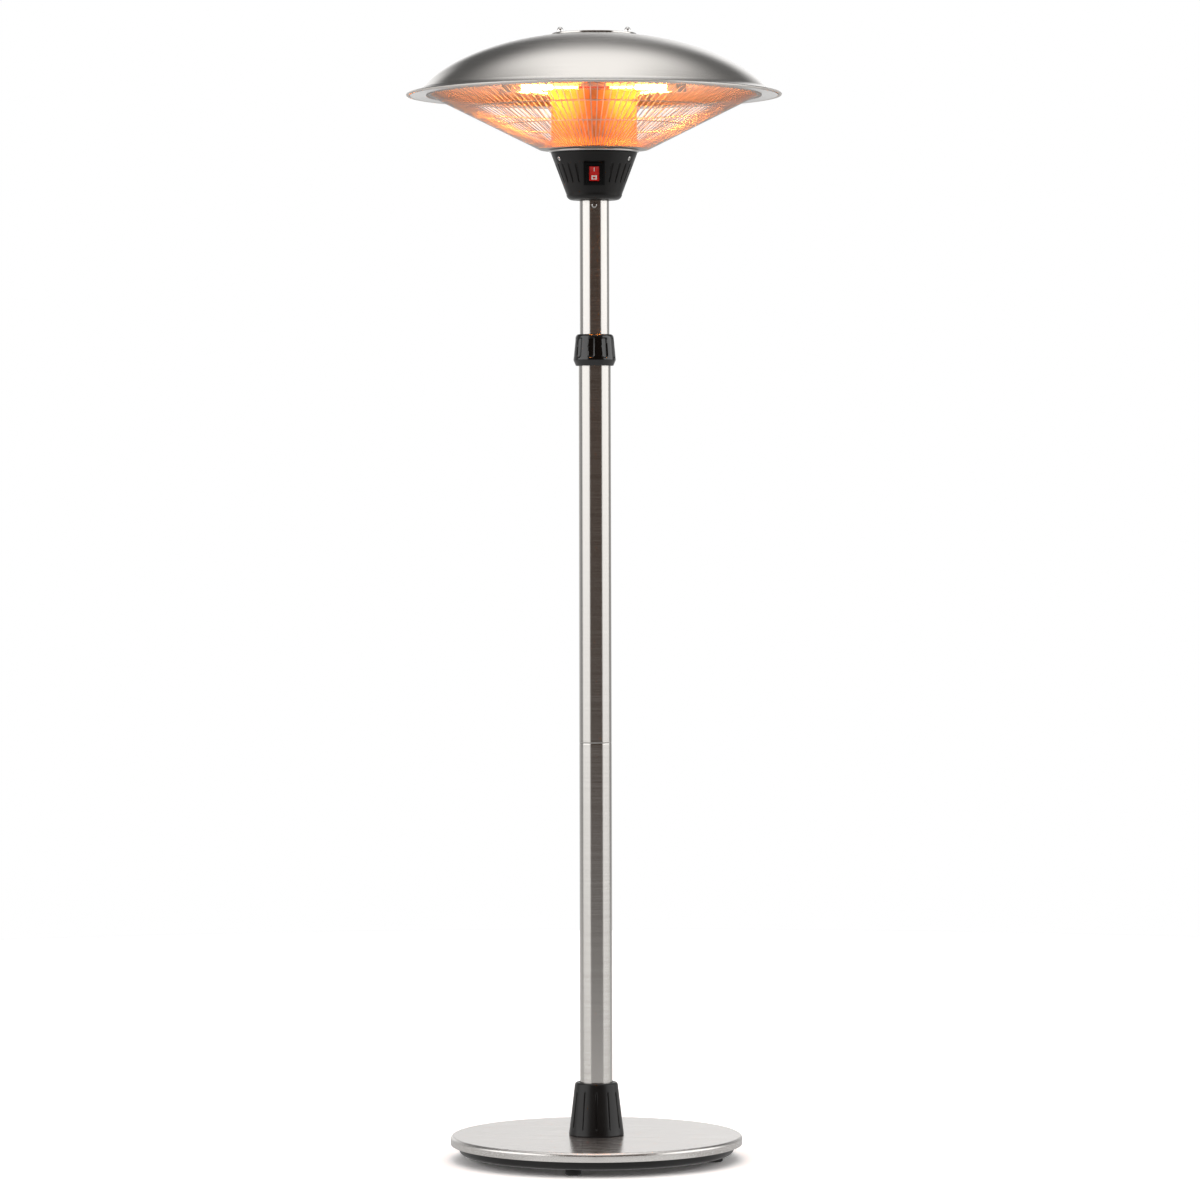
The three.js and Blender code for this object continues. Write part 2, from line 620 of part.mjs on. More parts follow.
function nutShape() {
  const waistZ = nutBottom + NUT_WAIST_HEIGHT;
  const waistRadius = nutBore + NUT_WAIST_WALL;
  const shoulderZ = nutTop - NUT_SHOULDER;
  const shoulderRadius = nutBore + NUT_TOP_WALL;
  const shoulderCentre = [shoulderRadius - NUT_SHOULDER_WIDTH, shoulderZ];
  const boreTop = upperPoleTop + CLAMP_THREAD_HEIGHT;
  const body = [
    [nutBore + NUT_FOOT_WALL, nutBottom],
    [waistRadius, waistZ],
    ...arc(shoulderCentre, NUT_SHOULDER_WIDTH, NUT_SHOULDER, 0, Math.PI / 2),
    [nutMouth, nutTop],
    [nutMouth, nutLipBottom],
    [nutBore - CLAMP_TAPER + RUNNING_GAP, nutLipBottom],
    [nutBore, boreTop],
    [nutBore, nutBottom],
  ];
  const taper = Math.atan2(waistRadius - shoulderRadius, shoulderZ - waistZ);
  const middle = nutBottom + NUT_FLUTE_FOOT + NUT_FLUTE_LENGTH / 2;
  const radiusAtMiddle = waistRadius - (middle - waistZ) * Math.tan(taper);
  const straight = NUT_FLUTE_LENGTH - 2 * NUT_FLUTE_RADIUS;
  const flutes = [];
  for (let i = 0; i < NUT_FLUTE_COUNT; i++) {
    const flute = capsule(NUT_FLUTE_RADIUS, straight);
    flute.translate(0, 0, NUT_FLUTE_RADIUS - NUT_FLUTE_DEPTH);
    const angle = NUT_FLUTE_TURN + (i * 2 * Math.PI) / NUT_FLUTE_COUNT;
    flutes.push(onCone(flute, radiusAtMiddle, middle, -taper, angle));
  }
  return cut(turnedRing(body, TUBE_SEGMENTS), flutes);
}

function buildPole(heater) {
  const lowerPole = pipe(POLE_RADIUS, poleBore, lowerPoleBottom, lowerPoleTop, TUBE_SEGMENTS);
  const upperPole = pipe(POLE_RADIUS, poleBore, upperPoleBottom, upperPoleTop, TUBE_SEGMENTS);
  const sleeveBottom = lowerPoleTop - JOINT_SLEEVE_LENGTH / 2;
  const sleeveTop = sleeveBottom + JOINT_SLEEVE_LENGTH;
  const sleeveBore = stubRadius - JOINT_SLEEVE_WALL;
  const sleeve = pipe(stubRadius, sleeveBore, sleeveBottom, sleeveTop, TUBE_SEGMENTS);
  addPiece(heater, 'lower_pole', cut(lowerPole, [cableHole()]), brushedSteel);
  addPiece(heater, 'joint_sleeve', sleeve, zincSteel);
  addPiece(heater, 'upper_pole', upperPole, brushedSteel);
  addPiece(heater, 'clamp_bush', clampShape(), nylon);
  addPiece(heater, 'lock_nut', nutShape(), glossBlack);
}

// ---------------------------------------------------------------- mast
function guideShape() {
  const radius = poleBore - RUNNING_GAP;
  const top = tubeBottom - RUNNING_GAP;
  const plug = tubeBore - RUNNING_GAP;
  const profile = [
    [radius, top - GUIDE_HEIGHT],
    [radius, top],
    [plug, top],
    [plug, top + GUIDE_PLUG_HEIGHT],
    [GUIDE_BORE, top + GUIDE_PLUG_HEIGHT],
    [GUIDE_BORE, top - GUIDE_HEIGHT],
  ];
  return turnedRing(profile, TUBE_SEGMENTS);
}

// The hole for the screw that holds the tube on the neck, through the front walls of both.
function tubeScrewHole() {
  const hole = rod(TUBE_SCREW_RADIUS + SEAT_GAP, 0, 2 * tubeRadius);
  return hole.rotateX(Math.PI / 2).translate(0, 0, tubeScrewZ);
}

function panScrew(radius, length, headRadius, headHeight, headBottom) {
  const profile = [
    [0, headBottom - length],
    [radius, headBottom - length],
    [radius, headBottom],
    [headRadius, headBottom],
    [headRadius, headBottom + headHeight / 2],
    [headRadius * Math.cos(Math.PI / 6), headBottom + headHeight],
    [0, headBottom + headHeight],
  ];
  return turned(profile, SMALL_SEGMENTS);
}

function tubeScrewShape() {
  const screw = panScrew(
    TUBE_SCREW_RADIUS,
    TUBE_SCREW_LENGTH,
    TUBE_SCREW_HEAD_RADIUS,
    TUBE_SCREW_HEAD_HEIGHT,
    tubeRadius + SEAT_GAP,
  );
  return screw.rotateX(Math.PI / 2).translate(0, 0, tubeScrewZ);
}

function neckShape() {
  const bore = neckRadius - NECK_WALL;
  const profile = [
    [neckRadius, tubeTop - NECK_DEPTH],
    [neckRadius, neckFlangeBottom],
    [tubeRadius + NECK_FLANGE_MARGIN, neckFlangeBottom],
    [tubeRadius + NECK_FLANGE_MARGIN, neckFlangeTop],
    [bore, neckFlangeTop],
    [bore, tubeTop - NECK_DEPTH],
  ];
  return cut(turnedRing(profile, TUBE_SEGMENTS), [tubeScrewHole()]);
}

function buildMast(heater) {
  const tube = pipe(tubeRadius, tubeBore, tubeBottom, tubeTop, TUBE_SEGMENTS);
  addPiece(heater, 'guide_bush', guideShape(), nylon);
  addPiece(heater, 'mast_tube', cut(tube, [tubeScrewHole()]), brushedSteel);
  addPiece(heater, 'tube_screw', tubeScrewShape(), zincSteel);
  addPiece(heater, 'mast_neck', neckShape(), zincSteel);
}

// ---------------------------------------------------------------- switch housing
function coneRadiusAt(z) {
  return coneFootRadius + (z - coneBottom) * Math.tan(coneSlope);
}

function onHousing(geometry, z, angle = 0) {
  return onCone(geometry, coneRadiusAt(z), z, coneSlope, angle);
}

function housingFlute(angle) {
  const outline = new THREE.Shape();
  outline.moveTo(-FLUTE_FOOT_WIDTH / 2, -FLUTE_LENGTH / 2);
  outline.lineTo(FLUTE_FOOT_WIDTH / 2, -FLUTE_LENGTH / 2);
  outline.lineTo(FLUTE_TOP_WIDTH / 2, FLUTE_LENGTH / 2);
  outline.lineTo(-FLUTE_TOP_WIDTH / 2, FLUTE_LENGTH / 2);
  outline.closePath();
  const flute = new THREE.ExtrudeGeometry(outline, { depth: 2 * FLUTE_DEPTH, bevelEnabled: false });
  flute.translate(0, 0, -FLUTE_DEPTH);
  const middle = housingBottom + FLUTE_FOOT + (FLUTE_LENGTH * Math.cos(coneSlope)) / 2;
  return onHousing(flute, middle, angle);
}

function housingScrewPlace(geometry, index) {
  const angle = HOUSING_SCREW_FIRST + (index * 2 * Math.PI) / HOUSING_SCREW_COUNT;
  return onHousing(geometry, housingTop - HOUSING_SCREW_DROP, angle);
}

function switchPlace(geometry) {
  return onHousing(geometry, housingBottom + SWITCH_HEIGHT);
}

const switchOpeningWidth = BEZEL_WIDTH - 2 * BEZEL_RIM;
const switchOpeningLength = BEZEL_LENGTH - 2 * BEZEL_RIM;
const bezelBottom = PAD_HEIGHT + SEAT_GAP;
const bezelTop = bezelBottom + BEZEL_THICKNESS;

function housingShape() {
  const footRadius = coneFootRadius - HOUSING_CORNER;
  const innerCorner = HOUSING_CORNER - HOUSING_WALL;
  const outside = [
    [0, housingBottom],
    ...arc([footRadius, coneBottom], HOUSING_CORNER, HOUSING_CORNER, -Math.PI / 2, 0),
    [coneTopRadius, housingTop],
    [0, housingTop],
  ];
  const cavity = [
    [0, housingBottom + HOUSING_WALL],
    ...arc([footRadius, coneBottom], innerCorner, innerCorner, -Math.PI / 2, 0),
    [coneTopRadius - coneWall, housingTop],
    [coneTopRadius - coneWall, housingTop + HOUSING_WALL],
    [0, housingTop + HOUSING_WALL],
  ];
  const pad = block(BEZEL_WIDTH, BEZEL_LENGTH, PAD_ROOT + PAD_HEIGHT, 0, 0, (PAD_HEIGHT - PAD_ROOT) / 2);
  const floorTop = housingBottom + HOUSING_WALL;
  const cutters = [
    turned(cavity, BASE_SEGMENTS),
    rod(neckRadius + SEAT_GAP, housingBottom - HOUSING_WALL, floorTop + HOUSING_WALL, TUBE_SEGMENTS),
    switchPlace(block(switchOpeningWidth, switchOpeningLength, 2 * SWITCH_DEPTH, 0, 0, 0)),
  ];
  for (let i = 0; i < HOUSING_SCREW_COUNT; i++) {
    const screwHole = rod(HOUSING_SCREW_RADIUS + SEAT_GAP, -2 * HOUSING_WALL, HOUSING_WALL);
    cutters.push(housingScrewPlace(rod(RECESS_RADIUS, -RECESS_DEPTH, RECESS_DEPTH), i));
    cutters.push(housingScrewPlace(screwHole, i));
  }
  const flutePitch = (2 * Math.PI - 2 * FLUTE_FIRST) / (FLUTE_COUNT - 1);
  for (let i = 0; i < FLUTE_COUNT; i++) {
    cutters.push(housingFlute(FLUTE_FIRST + i * flutePitch));
  }
  return cut(join(turned(outside, BASE_SEGMENTS), switchPlace(pad)), cutters);
}

function housingScrewShape() {
  const headBottom = SEAT_GAP - RECESS_DEPTH;
  return panScrew(
    HOUSING_SCREW_RADIUS,
    HOUSING_SCREW_LENGTH,
    HOUSING_SCREW_HEAD_RADIUS,
    HOUSING_SCREW_HEAD_HEIGHT,
    headBottom,
  );
}

function bezelShape() {
  const middle = (bezelBottom + bezelTop) / 2;
  const frame = block(BEZEL_WIDTH, BEZEL_LENGTH, BEZEL_THICKNESS, 0, 0, middle);
  return cut(frame, [block(switchOpeningWidth, switchOpeningLength, 2 * BEZEL_THICKNESS, 0, 0, middle)]);
}

function switchBodyShape() {
  const top = bezelTop + SWITCH_PROUD;
  const width = switchOpeningWidth - 2 * SEAT_GAP;
  const length = switchOpeningLength - 2 * SEAT_GAP;
  const body = block(width, length, SWITCH_DEPTH + top, 0, 0, (top - SWITCH_DEPTH) / 2);
  const pocketWidth = ROCKER_WIDTH + 2 * ROCKER_SIDE_GAP;
  const pocketLength = 2 * (ROCKER_REACH + ROCKER_END_GAP);
  const pocket = block(pocketWidth, pocketLength, 2 * ROCKER_POCKET_DEPTH, 0, 0, 0);
  const pinReach = ROCKER_WIDTH / 2 + ROCKER_PIN_LENGTH + RUNNING_GAP;
  const pinHole = rod(ROCKER_PIN_RADIUS + RUNNING_GAP, -pinReach, pinReach).rotateY(Math.PI / 2);
  return cut(body, [pocket, pinHole.translate(0, 0, -ROCKER_PIVOT_DEPTH)]);
}

// The rocker is drawn level about its pivot, as an outline in its side view, then tilted to ON.
function rockerShape() {
  const footReach = ROCKER_REACH * Math.cos(ROCKER_END_ANGLE);
  const outline = new THREE.Shape();
  outline.moveTo(-footReach, -ROCKER_UNDERSIDE);
  outline.lineTo(footReach, -ROCKER_UNDERSIDE);
  outline.absarc(0, 0, ROCKER_REACH, -ROCKER_END_ANGLE, ROCKER_END_ANGLE);
  outline.lineTo(0, ROCKER_CENTRE_RISE);
  outline.absarc(0, 0, ROCKER_REACH, Math.PI - ROCKER_END_ANGLE, Math.PI + ROCKER_END_ANGLE);
  outline.closePath();
  const options = { depth: ROCKER_WIDTH, bevelEnabled: false, curveSegments: ARC_STEPS };
  const body = new THREE.ExtrudeGeometry(outline, options).translate(0, 0, -ROCKER_WIDTH / 2);
  const pinReach = ROCKER_WIDTH / 2 + ROCKER_PIN_LENGTH;
  const rocker = join(body, rod(ROCKER_PIN_RADIUS, -pinReach, pinReach));
  // The outline's x runs along the rocker and its y out of the face: (x, y, z) becomes (z, x, y).
  rocker.rotateX(Math.PI / 2).rotateZ(Math.PI / 2);
  return rocker.rotateX(-ROCKER_TILT).translate(0, 0, -ROCKER_PIVOT_DEPTH);
}

function buildSwitch(heater) {
  addPiece(heater, 'switch_housing', housingShape(), satinBlack);
  for (let i = 0; i < HOUSING_SCREW_COUNT; i++) {
    addPiece(heater, `housing_screw_${i + 1}`, housingScrewPlace(housingScrewShape(), i), chrome);
  }
  addPiece(heater, 'switch_bezel', switchPlace(bezelShape()), glossBlack);
  addPiece(heater, 'switch_body', switchPlace(switchBodyShape()), glossBlack);
  addPiece(heater, 'rocker', switchPlace(rockerShape()), redLens);
}

// ---------------------------------------------------------------- plate on the housing
function rodPlace(geometry, side) {
  return geometry.translate(side * rodX, 0, 0);
}

function rodHoles(bottom, top) {
  return [-1, 1].map((side) => rodPlace(rod(ROD_RADIUS + SEAT_GAP, bottom, top), side));
}

function headPlateShape() {
  const plate = rod(coneTopRadius - HEAD_PLATE_MARGIN, headPlateBottom, headPlateTop, BASE_SEGMENTS);
  const tabMiddle = -(HOUSING_WALL + 2 * SEAT_GAP + TAB_THICKNESS / 2);
  const tabRise = HOUSING_SCREW_DROP / Math.cos(coneSlope) + HEAD_PLATE_THICKNESS - TAB_LENGTH / 2;
  const below = headPlateBottom - TAB_LENGTH;
  const above = headPlateTop + HEAD_PLATE_THICKNESS;
  const cutters = [...rodHoles(below, above), rod(WIRE_HOLE_RADIUS, below, above, MEDIUM_SEGMENTS)];
  let solid = toSolid(plate);
  for (let i = 0; i < HOUSING_SCREW_COUNT; i++) {
    const tab = block(TAB_WIDTH, TAB_LENGTH, TAB_THICKNESS, 0, tabRise, tabMiddle);
    const screwHole = rod(HOUSING_SCREW_RADIUS + SEAT_GAP, tabMiddle - TAB_THICKNESS, 0);
    solid = solid.add(toSolid(housingScrewPlace(tab, i)));
    cutters.push(housingScrewPlace(screwHole, i));
  }
  const aboveThePlate = rod(2 * coneTopRadius, headPlateTop, headPlateTop + TAB_LENGTH, BASE_SEGMENTS);
  return cut(toGeometry(solid), [aboveThePlate, ...cutters]);
}

function hungBlock(size, x, y) {
  const top = headPlateBottom - SEAT_GAP;
  return block(size.x, size.y, size.z, x, y, top - size.z / 2);
}

function buildHeadPlate(heater) {
  addPiece(heater, 'head_plate', headPlateShape(), zincSteel);
  addPiece(heater, 'terminal_block', hungBlock(TERMINAL_BLOCK, 0, TERMINAL_BLOCK_BACK), nylon);
  addPiece(heater, 'tip_over_switch', hungBlock(TIP_SWITCH, -TIP_SWITCH_SIDE, 0), nylon);
}

// ---------------------------------------------------------------- guard
// The guard as one net of cells on a cone: flat disc, wires between rings, and an outer band.
function guardShape() {
  const coneStart = DRUM_RADIUS + GUARD_DISC_MARGIN;
  const coneEnd = hoodNeckRadius - GUARD_RIM_INSET;
  const edge = hoodRimRadius - 2 * HOOD_BEAD_RADIUS - GUARD_RIM_EDGE / 2;
  const edgeMiddle = flangeUndersideAt(edge) - SEAT_GAP - GUARD_THICKNESS / 2;
  const coneEndMiddle = edgeMiddle + GUARD_RIM_RISE;
  const radii = [discInnerRadius, coneStart];
  for (const share of GUARD_RING_STEPS) {
    const ring = coneStart + share * (coneEnd - coneStart);
    radii.push(ring - GUARD_RING_WIDTH / 2, ring + GUARD_RING_WIDTH / 2);
  }
  radii.push(coneEnd, edge);
  const middleAt = (radius) => {
    if (radius <= coneStart) {
      return discMiddle;
    }
    if (radius <= coneEnd) {
      return THREE.MathUtils.mapLinear(radius, coneStart, coneEnd, discMiddle, coneEndMiddle);
    }
    return edgeMiddle;
  };
  const columns = 2 * GUARD_WIRE_COUNT;
  const rows = radii.length - 1;
  // Rows alternate: disc, gap, ring, gap, ring, gap, band. Columns alternate: wire, gap.
  // A column starts at its wire's first edge where it is even, and at its second where it is odd.
  const isSolid = (row, column) => row % 2 === 0 || column % 2 === 0;
  const positions = [];
  for (const radius of radii) {
    const middle = middleAt(radius);
    const wireTurn = GUARD_WIRE_WIDTH / (2 * radius);
    for (let column = 0; column < columns; column++) {
      const wireCentre = (Math.floor(column / 2) * 2 * Math.PI) / GUARD_WIRE_COUNT;
      const angle = wireCentre + (column % 2 === 0 ? -wireTurn : wireTurn);
      for (const side of [-1, 1]) {
        const height = middle + (side * GUARD_THICKNESS) / 2;
        positions.push(radius * Math.sin(angle), -radius * Math.cos(angle), height);
      }
    }
  }
  const corner = (row, column, side) => 2 * (row * columns + (column % columns)) + side;
  const faces = [];
  const quad = (a, b, c, d) => faces.push(a, b, c, a, c, d);
  for (let row = 0; row < rows; row++) {
    for (let column = 0; column < columns; column++) {
      if (!isSolid(row, column)) {
        continue;
      }
      const low = [
        corner(row, column, 0),
        corner(row, column + 1, 0),
        corner(row + 1, column + 1, 0),
        corner(row + 1, column, 0),
      ];
      const high = low.map((index) => index + 1);
      quad(low[0], low[1], low[2], low[3]);
      quad(high[3], high[2], high[1], high[0]);
      if (row === 0 || !isSolid(row - 1, column)) {
        quad(low[1], low[0], high[0], high[1]);
      }
      if (row === rows - 1 || !isSolid(row + 1, column)) {
        quad(low[3], low[2], high[2], high[3]);
      }
      if (!isSolid(row, (column + columns - 1) % columns)) {
        quad(low[0], low[3], high[3], high[0]);
      }
      if (!isSolid(row, (column + 1) % columns)) {
        quad(low[2], low[1], high[1], high[2]);
      }
    }
  }
  const geometry = new THREE.BufferGeometry();
  geometry.setAttribute('position', new THREE.Float32BufferAttribute(positions, 3));
  geometry.setIndex(faces);
  geometry.computeVertexNormals();
  return geometry;
}

// ---------------------------------------------------------------- drum, reflector, lamps
function drumShape() {
  const waist = drumTop - DRUM_LIP_HEIGHT;
  const profile = [
    [DRUM_RADIUS, drumBottom],
    [DRUM_RADIUS, waist],
    [drumLipRadius, drumTop],
    [drumLipRadius - DRUM_WALL, drumTop],
    [DRUM_RADIUS - DRUM_WALL, waist],
    [DRUM_RADIUS - DRUM_WALL, drumBottom],
  ];
  return turnedRing(profile, BASE_SEGMENTS);
}

function footRingShape() {
  const neck = DRUM_RADIUS + SEAT_GAP + FOOT_RING_WALL;
  const top = drumBottom + FOOT_RING_HEIGHT;
  const profile = [
    [DRUM_RADIUS + FOOT_RING_FLARE, drumBottom],
    [neck, top],
    [neck - FOOT_RING_WALL, top],
    [DRUM_RADIUS + FOOT_RING_FLARE - FOOT_RING_WALL, drumBottom],
  ];
  return turnedRing(profile, BASE_SEGMENTS);
}

function reflectorShape() {
  const seatRadius = drumLipRadius + REFLECTOR_SEAT_MARGIN;
  const stepRadius = seatRadius + REFLECTOR_STEP_WIDTH;
  const upperSeat = reflectorSeat + REFLECTOR_WALL;
  const upperCeiling = reflectorCeiling + REFLECTOR_WALL;
  const rimTop = reflectorCeiling + REFLECTOR_RIM;
  const profile = [
    [WIRE_HOLE_RADIUS, reflectorSeat],
    [seatRadius, reflectorSeat],
    [stepRadius, reflectorCeiling],
    [reflectorRadius, reflectorCeiling],
    [reflectorRadius, rimTop],
    [reflectorRadius - REFLECTOR_WALL, rimTop],
    [reflectorRadius - REFLECTOR_WALL, upperCeiling],
    [stepRadius, upperCeiling],
    [seatRadius, upperSeat],
    [WIRE_HOLE_RADIUS, upperSeat],
  ];
  const holes = rodHoles(reflectorSeat - REFLECTOR_WALL, upperSeat + REFLECTOR_WALL);
  return cut(turnedRing(profile, BASE_SEGMENTS), holes);
}

function lampTurn(geometry, index) {
  return turn(geometry, (index * 2 * Math.PI) / 3);
}

// Sets a shape drawn along +Z on a lamp's axis, at a distance along it.
function onLamp(geometry, along, side, index) {
  geometry.rotateY((side * Math.PI) / 2).translate(side * along, -lampDistance, lampHeight);
  return lampTurn(geometry, index);
}

function lampCapShape() {
  const socket = LAMP_RADIUS + SEAT_GAP;
  const profile = [
    [socket, 0],
    [LAMP_CAP_RADIUS, 0],
    [LAMP_CAP_RADIUS, LAMP_CAP_LENGTH],
    [0, LAMP_CAP_LENGTH],
    [0, LAMP_CAP_SOCKET],
    [socket, LAMP_CAP_SOCKET],
    [socket, 0],
  ];
  return turned(profile, SMALL_SEGMENTS);
}

// One bracket in each corner holds the ends of two lamps. Drawn with the corner at the origin.
function bracketShape() {
  const near = capCornerGap - SEAT_GAP - BRACKET_THICKNESS;
  const middle = near + BRACKET_THICKNESS / 2;
  const reach = middle * Math.tan(Math.PI / 6) + BRACKET_THICKNESS / 2;
  const width = BRACKET_WIDTH / 2 + reach;
  const top = reflectorCeiling - SEAT_GAP;
  const bottom = lampHeight - LAMP_CAP_RADIUS;
  const plates = [-1, 1].map((side) => {
    const sideways = side * (reach - width / 2);
    const plate = block(BRACKET_THICKNESS, width, top - bottom, middle, -sideways, (top + bottom) / 2);
    return plate.rotateZ((side * Math.PI) / 6);
  });
  const tab = block(BRACKET_TAB, BRACKET_WIDTH, BRACKET_THICKNESS, middle, 0, top - BRACKET_THICKNESS / 2);
  return join(...plates, tab);
}

function buildLamps(heater) {
  const names = ['front', 'right', 'left'];
  names.forEach((name, index) => {
    const reach = capInnerEnd + LAMP_CAP_SOCKET - SEAT_GAP;
    const tube = rod(LAMP_RADIUS, -reach, reach, MEDIUM_SEGMENTS);
    addPiece(heater, `heat_lamp_${name}`, onLamp(tube, 0, 1, index), lampGlass);
    addPiece(heater, `lamp_cap_${name}_a`, onLamp(lampCapShape(), capInnerEnd, 1, index), ceramic);
    addPiece(heater, `lamp_cap_${name}_b`, onLamp(lampCapShape(), capInnerEnd, -1, index), ceramic);
    const bracket = bracketShape().rotateZ((5 * Math.PI) / 6);
    bracket.translate(lampHalfSide, -lampDistance, 0);
    addPiece(heater, `lamp_bracket_${index + 1}`, lampTurn(bracket, index), zincSteel);
  });
}

// ---------------------------------------------------------------- hood and its fixings
const flangeRootUnderside = [hoodNeckRadius - HOOD_WALL, crownTop - HOOD_DEPTH - HOOD_WALL / 2];

// Height of the flange's underside at a radius between the hood's neck and its rolled edge.
function flangeUndersideAt(radius) {
  const [rootRadius, rootHeight] = flangeRootUnderside;
  const endRadius = beadRadius + HOOD_BEAD_RADIUS * Math.cos(HOOD_BEAD_START);
  const endHeight = beadHeight + HOOD_BEAD_RADIUS * Math.sin(HOOD_BEAD_START);
  return THREE.MathUtils.mapLinear(radius, rootRadius, endRadius, rootHeight, endHeight);
}

function hoodShape() {
  const centre = [0, curveCentre];
  const innerWidth = HOOD_CURVE_RADIUS - HOOD_WALL;
  const innerRise = HOOD_CURVE_RISE - HOOD_WALL;
  const steps = 2 * ARC_STEPS;
  const inner = arc(centre, innerWidth, innerRise, crownAngle, flangeAngle, steps).slice(1, -1);
  const outer = arc(centre, HOOD_CURVE_RADIUS, HOOD_CURVE_RISE, flangeAngle, crownAngle, steps);
  const beadCentre = [beadRadius, beadHeight];
  const bead = arc(
    beadCentre,
    HOOD_BEAD_RADIUS,
    HOOD_BEAD_RADIUS,
    HOOD_BEAD_START,
    HOOD_BEAD_END,
    ARC_STEPS + 1,
  );
  const profile = [
    [0, crownUnderside],
    [HOOD_CROWN_RADIUS, crownUnderside],
    ...inner,
    flangeRootUnderside,
    ...bead,
    ...outer,
    [0, crownTop],
  ];
  return cut(turned(profile, LARGE_SEGMENTS), rodHoles(crownUnderside - HOOD_WALL, crownTop + HOOD_WALL));
}

function topDiscShape() {
  const profile = [
    [0, topDiscBottom],
    [HOOD_CROWN_RADIUS, topDiscBottom],
    [HOOD_CROWN_RADIUS, topDiscTop - TOP_DISC_EDGE],
    [HOOD_CROWN_RADIUS - TOP_DISC_EDGE, topDiscTop],
    [0, topDiscTop],
  ];
  return cut(turned(profile, BASE_SEGMENTS), rodHoles(topDiscBottom - HOOD_WALL, topDiscTop + HOOD_WALL));
}

function longBoltShape() {
  const headTop = headPlateBottom - SEAT_GAP;
  const head = rod(ROD_HEAD_RADIUS, headTop - ROD_HEAD_HEIGHT, headTop, HEX);
  return join(head, rod(ROD_RADIUS, headTop - ROD_HEAD_HEIGHT, capNutBottom + CAP_NUT_THREAD - SEAT_GAP));
}

function capNutShape() {
  const hexTop = capNutBottom + CAP_NUT_HEX_HEIGHT;
  const domeRadius = CAP_NUT_RADIUS * Math.cos(Math.PI / HEX) - SEAT_GAP;
  const domeRise = CAP_NUT_HEIGHT - CAP_NUT_HEX_HEIGHT;
  const dome = [
    [0, capNutBottom],
    [domeRadius, capNutBottom],
    ...arc([0, hexTop], domeRadius, domeRise, 0, Math.PI / 2),
  ];
  const nut = join(rod(CAP_NUT_RADIUS, capNutBottom, hexTop, HEX), turned(dome, SMALL_SEGMENTS));
  const threadTop = capNutBottom + CAP_NUT_THREAD;
  return cut(nut, [rod(ROD_RADIUS + SEAT_GAP, capNutBottom - CAP_NUT_THREAD, threadTop)]);
}

function buildHead(heater) {
  const trim = pipe(DRUM_RADIUS + TRIM_MARGIN, discInnerRadius, trimBottom, trimTop, BASE_SEGMENTS);
  addPiece(heater, 'trim_ring', trim, polishedSteel);
  addPiece(heater, 'guard', guardShape(), chrome);
  addPiece(heater, 'drum_reflector', drumShape(), polishedSteel);
  addPiece(heater, 'drum_foot_ring', footRingShape(), polishedSteel);
  addPiece(heater, 'reflector_plate', reflectorShape(), polishedSteel);
  buildLamps(heater);
  const spacerTop = spacerBottom + SPACER_LENGTH;
  const spacerBore = ROD_RADIUS + SEAT_GAP;
  for (const [name, side] of [['left', -1], ['right', 1]]) {
    const spacer = pipe(spacerBore + SPACER_WALL, spacerBore, spacerBottom, spacerTop, SMALL_SEGMENTS);
    addPiece(heater, `long_bolt_${name}`, rodPlace(longBoltShape(), side), zincSteel);
    addPiece(heater, `spacer_${name}`, rodPlace(spacer, side), zincSteel);
    addPiece(heater, `cap_nut_${name}`, rodPlace(capNutShape(), side), chrome);
  }
  addPiece(heater, 'hood', hoodShape(), brushedSteel);
  addPiece(heater, 'top_disc', topDiscShape(), brushedSteel);
}

// ---------------------------------------------------------------- the whole heater
const heater = new THREE.Group();
buildBase(heater);
buildPoleFoot(heater);
buildPole(heater);
buildMast(heater);
buildSwitch(heater);
buildHeadPlate(heater);
buildHead(heater);

export default heater;
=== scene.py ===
"""Standing infrared patio heater: the finish and fine shape of every piece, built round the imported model.
Metres, +Z up, the switch faces -Y, the pole's axis is the Z axis."""

import json
import math

import bmesh
import bpy
from mathutils import Matrix, Vector


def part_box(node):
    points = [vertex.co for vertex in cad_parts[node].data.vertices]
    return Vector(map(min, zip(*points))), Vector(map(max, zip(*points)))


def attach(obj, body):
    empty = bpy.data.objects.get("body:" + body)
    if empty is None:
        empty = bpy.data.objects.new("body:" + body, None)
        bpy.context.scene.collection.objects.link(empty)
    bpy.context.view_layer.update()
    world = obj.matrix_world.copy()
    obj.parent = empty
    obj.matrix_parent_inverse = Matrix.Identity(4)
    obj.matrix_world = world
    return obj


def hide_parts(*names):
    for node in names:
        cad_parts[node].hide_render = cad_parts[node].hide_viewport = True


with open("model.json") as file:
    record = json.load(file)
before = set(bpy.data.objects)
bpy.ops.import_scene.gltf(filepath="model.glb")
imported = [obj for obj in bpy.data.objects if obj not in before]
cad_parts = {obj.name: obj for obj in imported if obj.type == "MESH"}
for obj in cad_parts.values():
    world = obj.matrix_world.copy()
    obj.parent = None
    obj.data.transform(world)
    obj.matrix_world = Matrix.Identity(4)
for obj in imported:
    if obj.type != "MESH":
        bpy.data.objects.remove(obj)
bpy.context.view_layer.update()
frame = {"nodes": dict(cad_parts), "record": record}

MM = 0.001
FULL_TURN = 2 * math.pi
CREASE = math.radians(32)  # an edge sharper than this stays a crease
ROUND_STEPS = 192  # facets round a large turned piece
TUBE_STEPS = 96
SMALL_STEPS = 32


# ---------------------------------------------------------------- places read from the frame
def foot_of(node):
    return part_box(node)[0].z


def top_of(node):
    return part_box(node)[1].z


def radius_of(node):
    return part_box(node)[1].x


